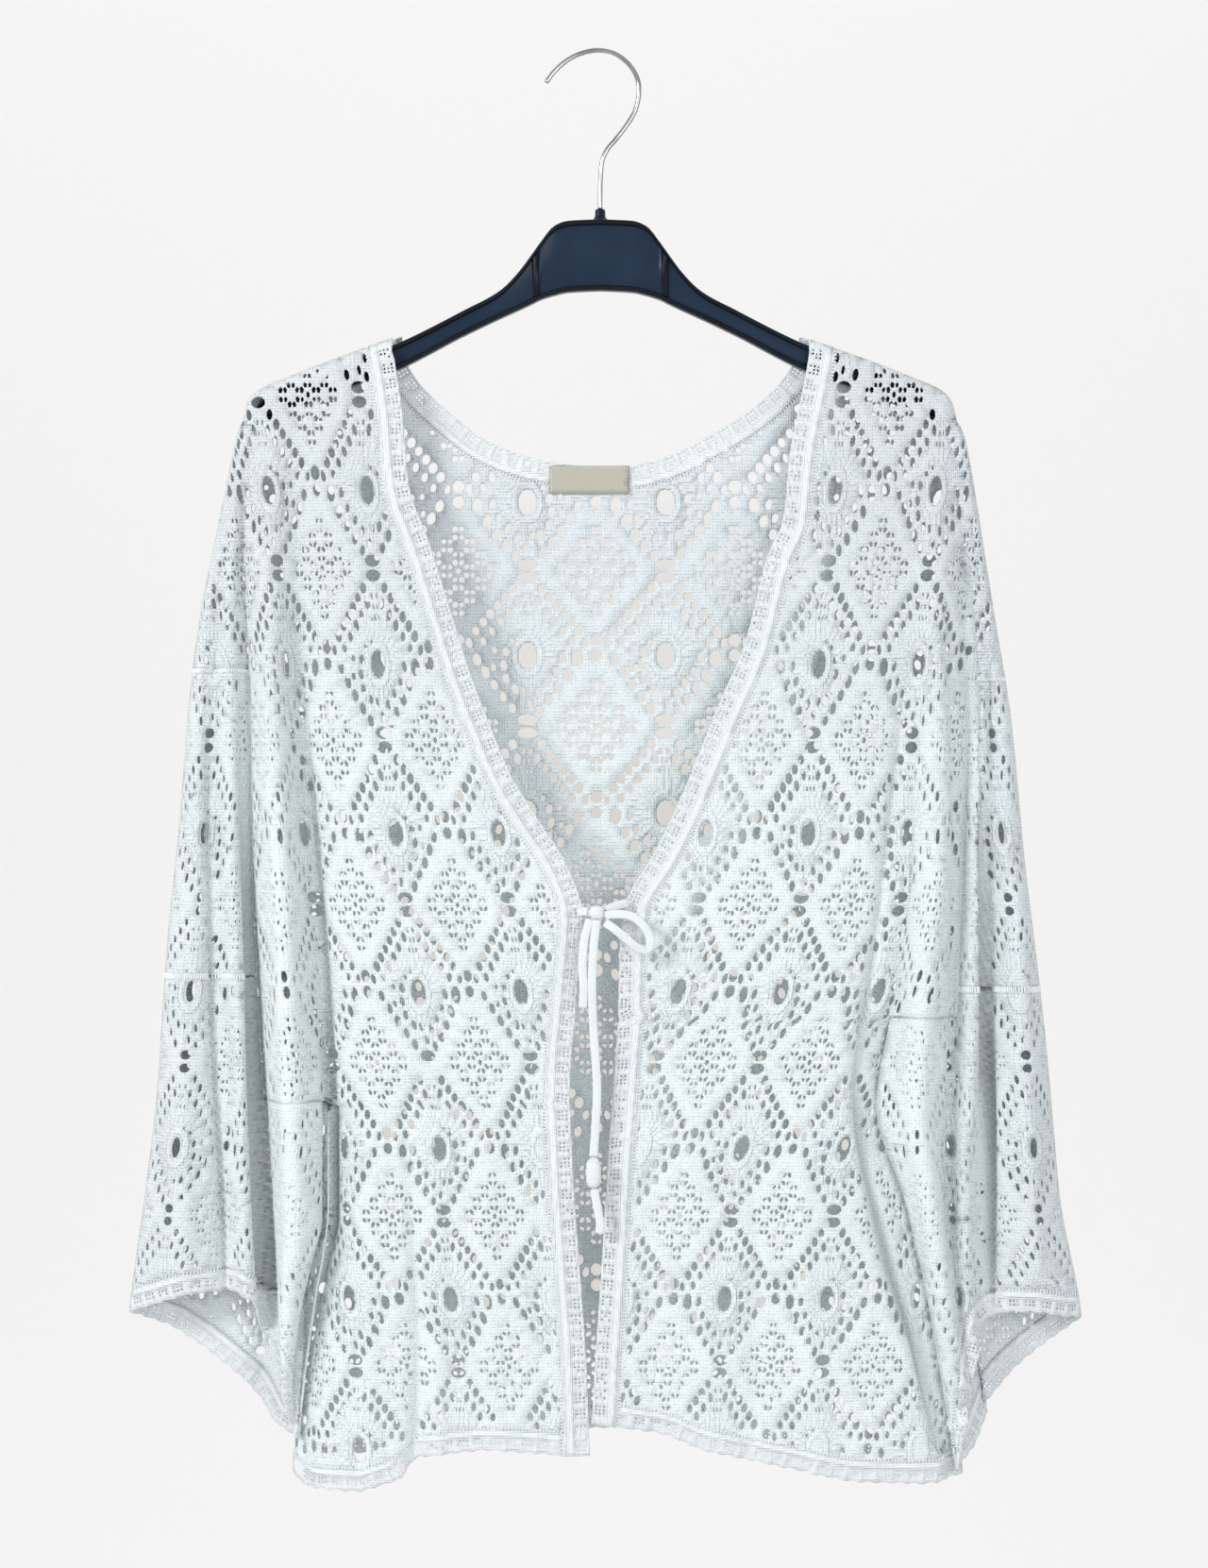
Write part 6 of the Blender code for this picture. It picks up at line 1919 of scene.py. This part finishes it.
def tie_finish():
    """The tie's flat strap, with a fine rib along it."""
    pair, wiring = finish("white_tie_strap", "band_cloth", (0.86, 0.89, 0.91), 0.9, sheen=0.2)
    wiring.show(*knitted(wiring, BAND_LIGHT, BAND_SHADE, *STRAP_KNIT))
    return pair


def thread_finish():
    """The sewing yarn of the seams, with its twist."""
    pair, wiring = finish("white_seam_yarn", "band_cloth", (0.86, 0.9, 0.91), 0.88, sheen=0.2)
    place = wiring.object_place()
    twist, uneven = wiring.noise(place, 1400.0, 2.0), wiring.noise(place, 60.0, 2.0)
    share = wiring.plus(wiring.times(twist, 0.5), wiring.scaled(uneven, 0.8, -0.4))
    wiring.show(wiring.blend(wiring.clamped(share), BAND_LIGHT, BAND_SHADE), wiring.bump(twist, YARN_TALL))
    return pair


def label_finish():
    """Woven beige tape with a fine ribbed weft."""
    pair, wiring = finish("beige_woven_tape", "label_tape", LABEL_LIGHT, 0.7, sheen=0.15)
    place = wiring.flat_place("cloth")
    weft, warp = wiring.wave(place, 0.55, "Y"), wiring.wave(place, 0.8, "X")
    weave = wiring.times(weft, warp)
    colour = wiring.blend(wiring.times(weave, 0.45), LABEL_LIGHT, LABEL_SHADE)
    wiring.show(colour, wiring.bump(weave, WEAVE_TALL))
    return pair


def plastic_finish():
    """Moulded black plastic with a blue cast in its web and a faint orange-peel surface."""
    pair, wiring = finish("black_moulded_plastic", "hanger_plastic", PLASTIC_DARK, 0.3, coat=0.06)
    place = wiring.object_place()
    grain, worn = wiring.noise(place, 900.0, 2.0), wiring.noise(place, 35.0, 4.0)
    in_web = wiring.ramp(wiring.away(wiring.split(place)["Y"]), WEB_PART)
    share = wiring.plus(wiring.times(in_web, 0.75), wiring.scaled(worn, 0.5, -0.15))
    colour = wiring.blend(wiring.clamped(share), PLASTIC_DARK, PLASTIC_BLUE)
    wiring.show(colour, wiring.bump(grain, PLASTIC_TALL), wiring.scaled(worn, 0.2, 0.2))
    wiring.shader.inputs["Specular IOR Level"].default_value = 0.16
    return pair


def wire_finish():
    """Bright plated wire with fine drawing lines and dulled places."""
    pair, wiring = finish("bright_plated_wire", "hook_wire", WIRE_LIGHT, 0.16, metallic=1.0)
    place = wiring.flat_place("cloth")
    drawn, worn = wiring.noise(place, 3.0, 2.0), wiring.noise(place, 0.05, 2.0)
    colour = wiring.blend(wiring.ramp(worn, (0.35, 0.75, 2.0, 3.0)), WIRE_LIGHT, WIRE_DULL)
    wiring.show(colour, wiring.bump(drawn, WIRE_TALL), wiring.scaled(worn, 0.1, 0.14))
    return pair


# ---------------------------------------------------------------- room, light and camera


def room():
    """A pale wall well behind the garment, with soft shadows painted on it behind the garment, and a pale floor below
    it.
    """
    wall = bpy.data.materials.new("pale_wall_painted_shadow")
    wall.use_nodes = True
    wiring = Wiring(wall)
    for key, value in (("Roughness", 0.95), ("Specular IOR Level", 0.1), ("Base Color", (*WALL_LIGHT, 1))):
        wiring.shader.inputs[key].default_value = value
    place = wiring.split(wiring.object_place())
    shade = None
    # Each painted shadow: a soft rounded patch where the wall's colour is darkened towards the shadow colour
    for x, z, half_x, half_z, soft, deep in WALL_PAINTED_SHADOWS:
        far = [
            wiring.math("POWER", wiring.math("DIVIDE", wiring.away(place[axis], middle), half), 4.0)
            for axis, middle, half in (("X", x, half_x), ("Z", z, half_z))
        ]
        apart = wiring.math("POWER", wiring.plus(*far), 0.25)
        rise = wiring.node("ShaderNodeMapRange", interpolation_type="SMOOTHSTEP")
        for key, value in (("From Min", 1 - soft), ("From Max", 1 + soft), ("To Min", deep), ("To Max", 0.0)):
            rise.inputs[key].default_value = value
        wiring.join(apart, rise.inputs["Value"])
        shade = rise.outputs[0] if shade is None else wiring.math("MAXIMUM", shade, rise.outputs[0])
    wiring.show(wiring.blend(shade, WALL_LIGHT, WALL_PAINTED_SHADOW))
    for name, corners in (
        ("wall", ((-9, WALL_Y, FLOOR_Z), (9, WALL_Y, FLOOR_Z), (9, WALL_Y, 5), (-9, WALL_Y, 5))),
        ("floor", ((-9, -6, FLOOR_Z), (9, -6, FLOOR_Z), (9, WALL_Y, FLOOR_Z), (-9, WALL_Y, FLOOR_Z))),
    ):
        mesh = bpy.data.meshes.new(name)
        mesh.from_pydata(corners, [], [(0, 1, 2, 3)])
        mesh.materials.append(wall)
        made = bpy.data.objects.new(name, mesh)
        bpy.context.scene.collection.objects.link(made)


def lamp(name, place, aim, size, watts, colour):
    """A soft square light that the camera doesn't see."""
    light = bpy.data.lights.new(name, "AREA")
    light.shape, light.size, light.size_y, light.energy, light.color = "RECTANGLE", size[0], size[1], watts, colour
    made = bpy.data.objects.new(name, light)
    made.location = place
    made.rotation_euler = (Vector(aim) - Vector(place)).to_track_quat("-Z", "Y").to_euler()
    made.visible_camera = False
    bpy.context.scene.collection.objects.link(made)


def light_and_camera():
    """The sky, the lamps, and the camera level with the garment's middle."""
    scene = bpy.context.scene
    scene.view_settings.view_transform = "Standard"
    world = bpy.data.worlds.new("soft_daylight")
    world.use_nodes = True
    back = world.node_tree.nodes["Background"]
    back.inputs["Color"].default_value = (*SKY[0], 1)
    back.inputs["Strength"].default_value = SKY[1]
    scene.world = world
    for row in LAMPS:
        lamp(*row)
    camera = bpy.data.cameras.new("camera")
    camera.sensor_fit = "HORIZONTAL"
    camera.sensor_width = SENSOR
    camera.lens = SENSOR * CAMERA_BACK / FRAME_WIDE
    made = bpy.data.objects.new("camera", camera)
    made.location = (CAMERA_AIM[0], -CAMERA_BACK, CAMERA_AIM[2])
    made.rotation_euler = (math.radians(90), 0, 0)
    scene.collection.objects.link(made)
    scene.camera = made


def dress():
    """Every piece of the garment and its hanger, side by side and then the back."""
    material = {
        "lace": lace_finish(),
        "band": band_finish(),
        "label": label_finish(),
        "plastic": plastic_finish(),
        "wire": wire_finish(),
        "strap": tie_finish(),
        "sewing": (stitch_tree(), thread_finish()),
    }
    for side in SIDES:
        creases = side["creases"] + BODY_CREASES
        front = Drape(front_body_section(side), TOP, BOTTOM, (side,), -1, creases, side["bunched"])
        lines = front_lines(side, front)
        front_panel(side, front, lines, material)
        front_seams(side, front, lines, material["sewing"])
        top = side["underarm"] + SLEEVE_ABOVE_UNDERARM
        sleeve_front = Drape(sleeve_front_section(side), top, BOTTOM, (side,), -1, creases, side["bunched"])
        sleeve_back = Drape(sleeve_back_section(side), top, BOTTOM, (side,), 1, BACK_CREASES)
        sleeve(side, sleeve_front, sleeve_back, material)
    back = Drape(back_section, TOP, BOTTOM, SIDES, 1, BACK_CREASES)
    back_panel(back, material)
    neck_label(back, material)
    finished("hanger_moulded_arm", hanger_mesh(), material["plastic"], "hanger_body")
    finished("hanger_boss", boss_mesh(), material["plastic"], "hanger_collar")
    hook(material)
    tie(material)


room()
light_and_camera()
dress()
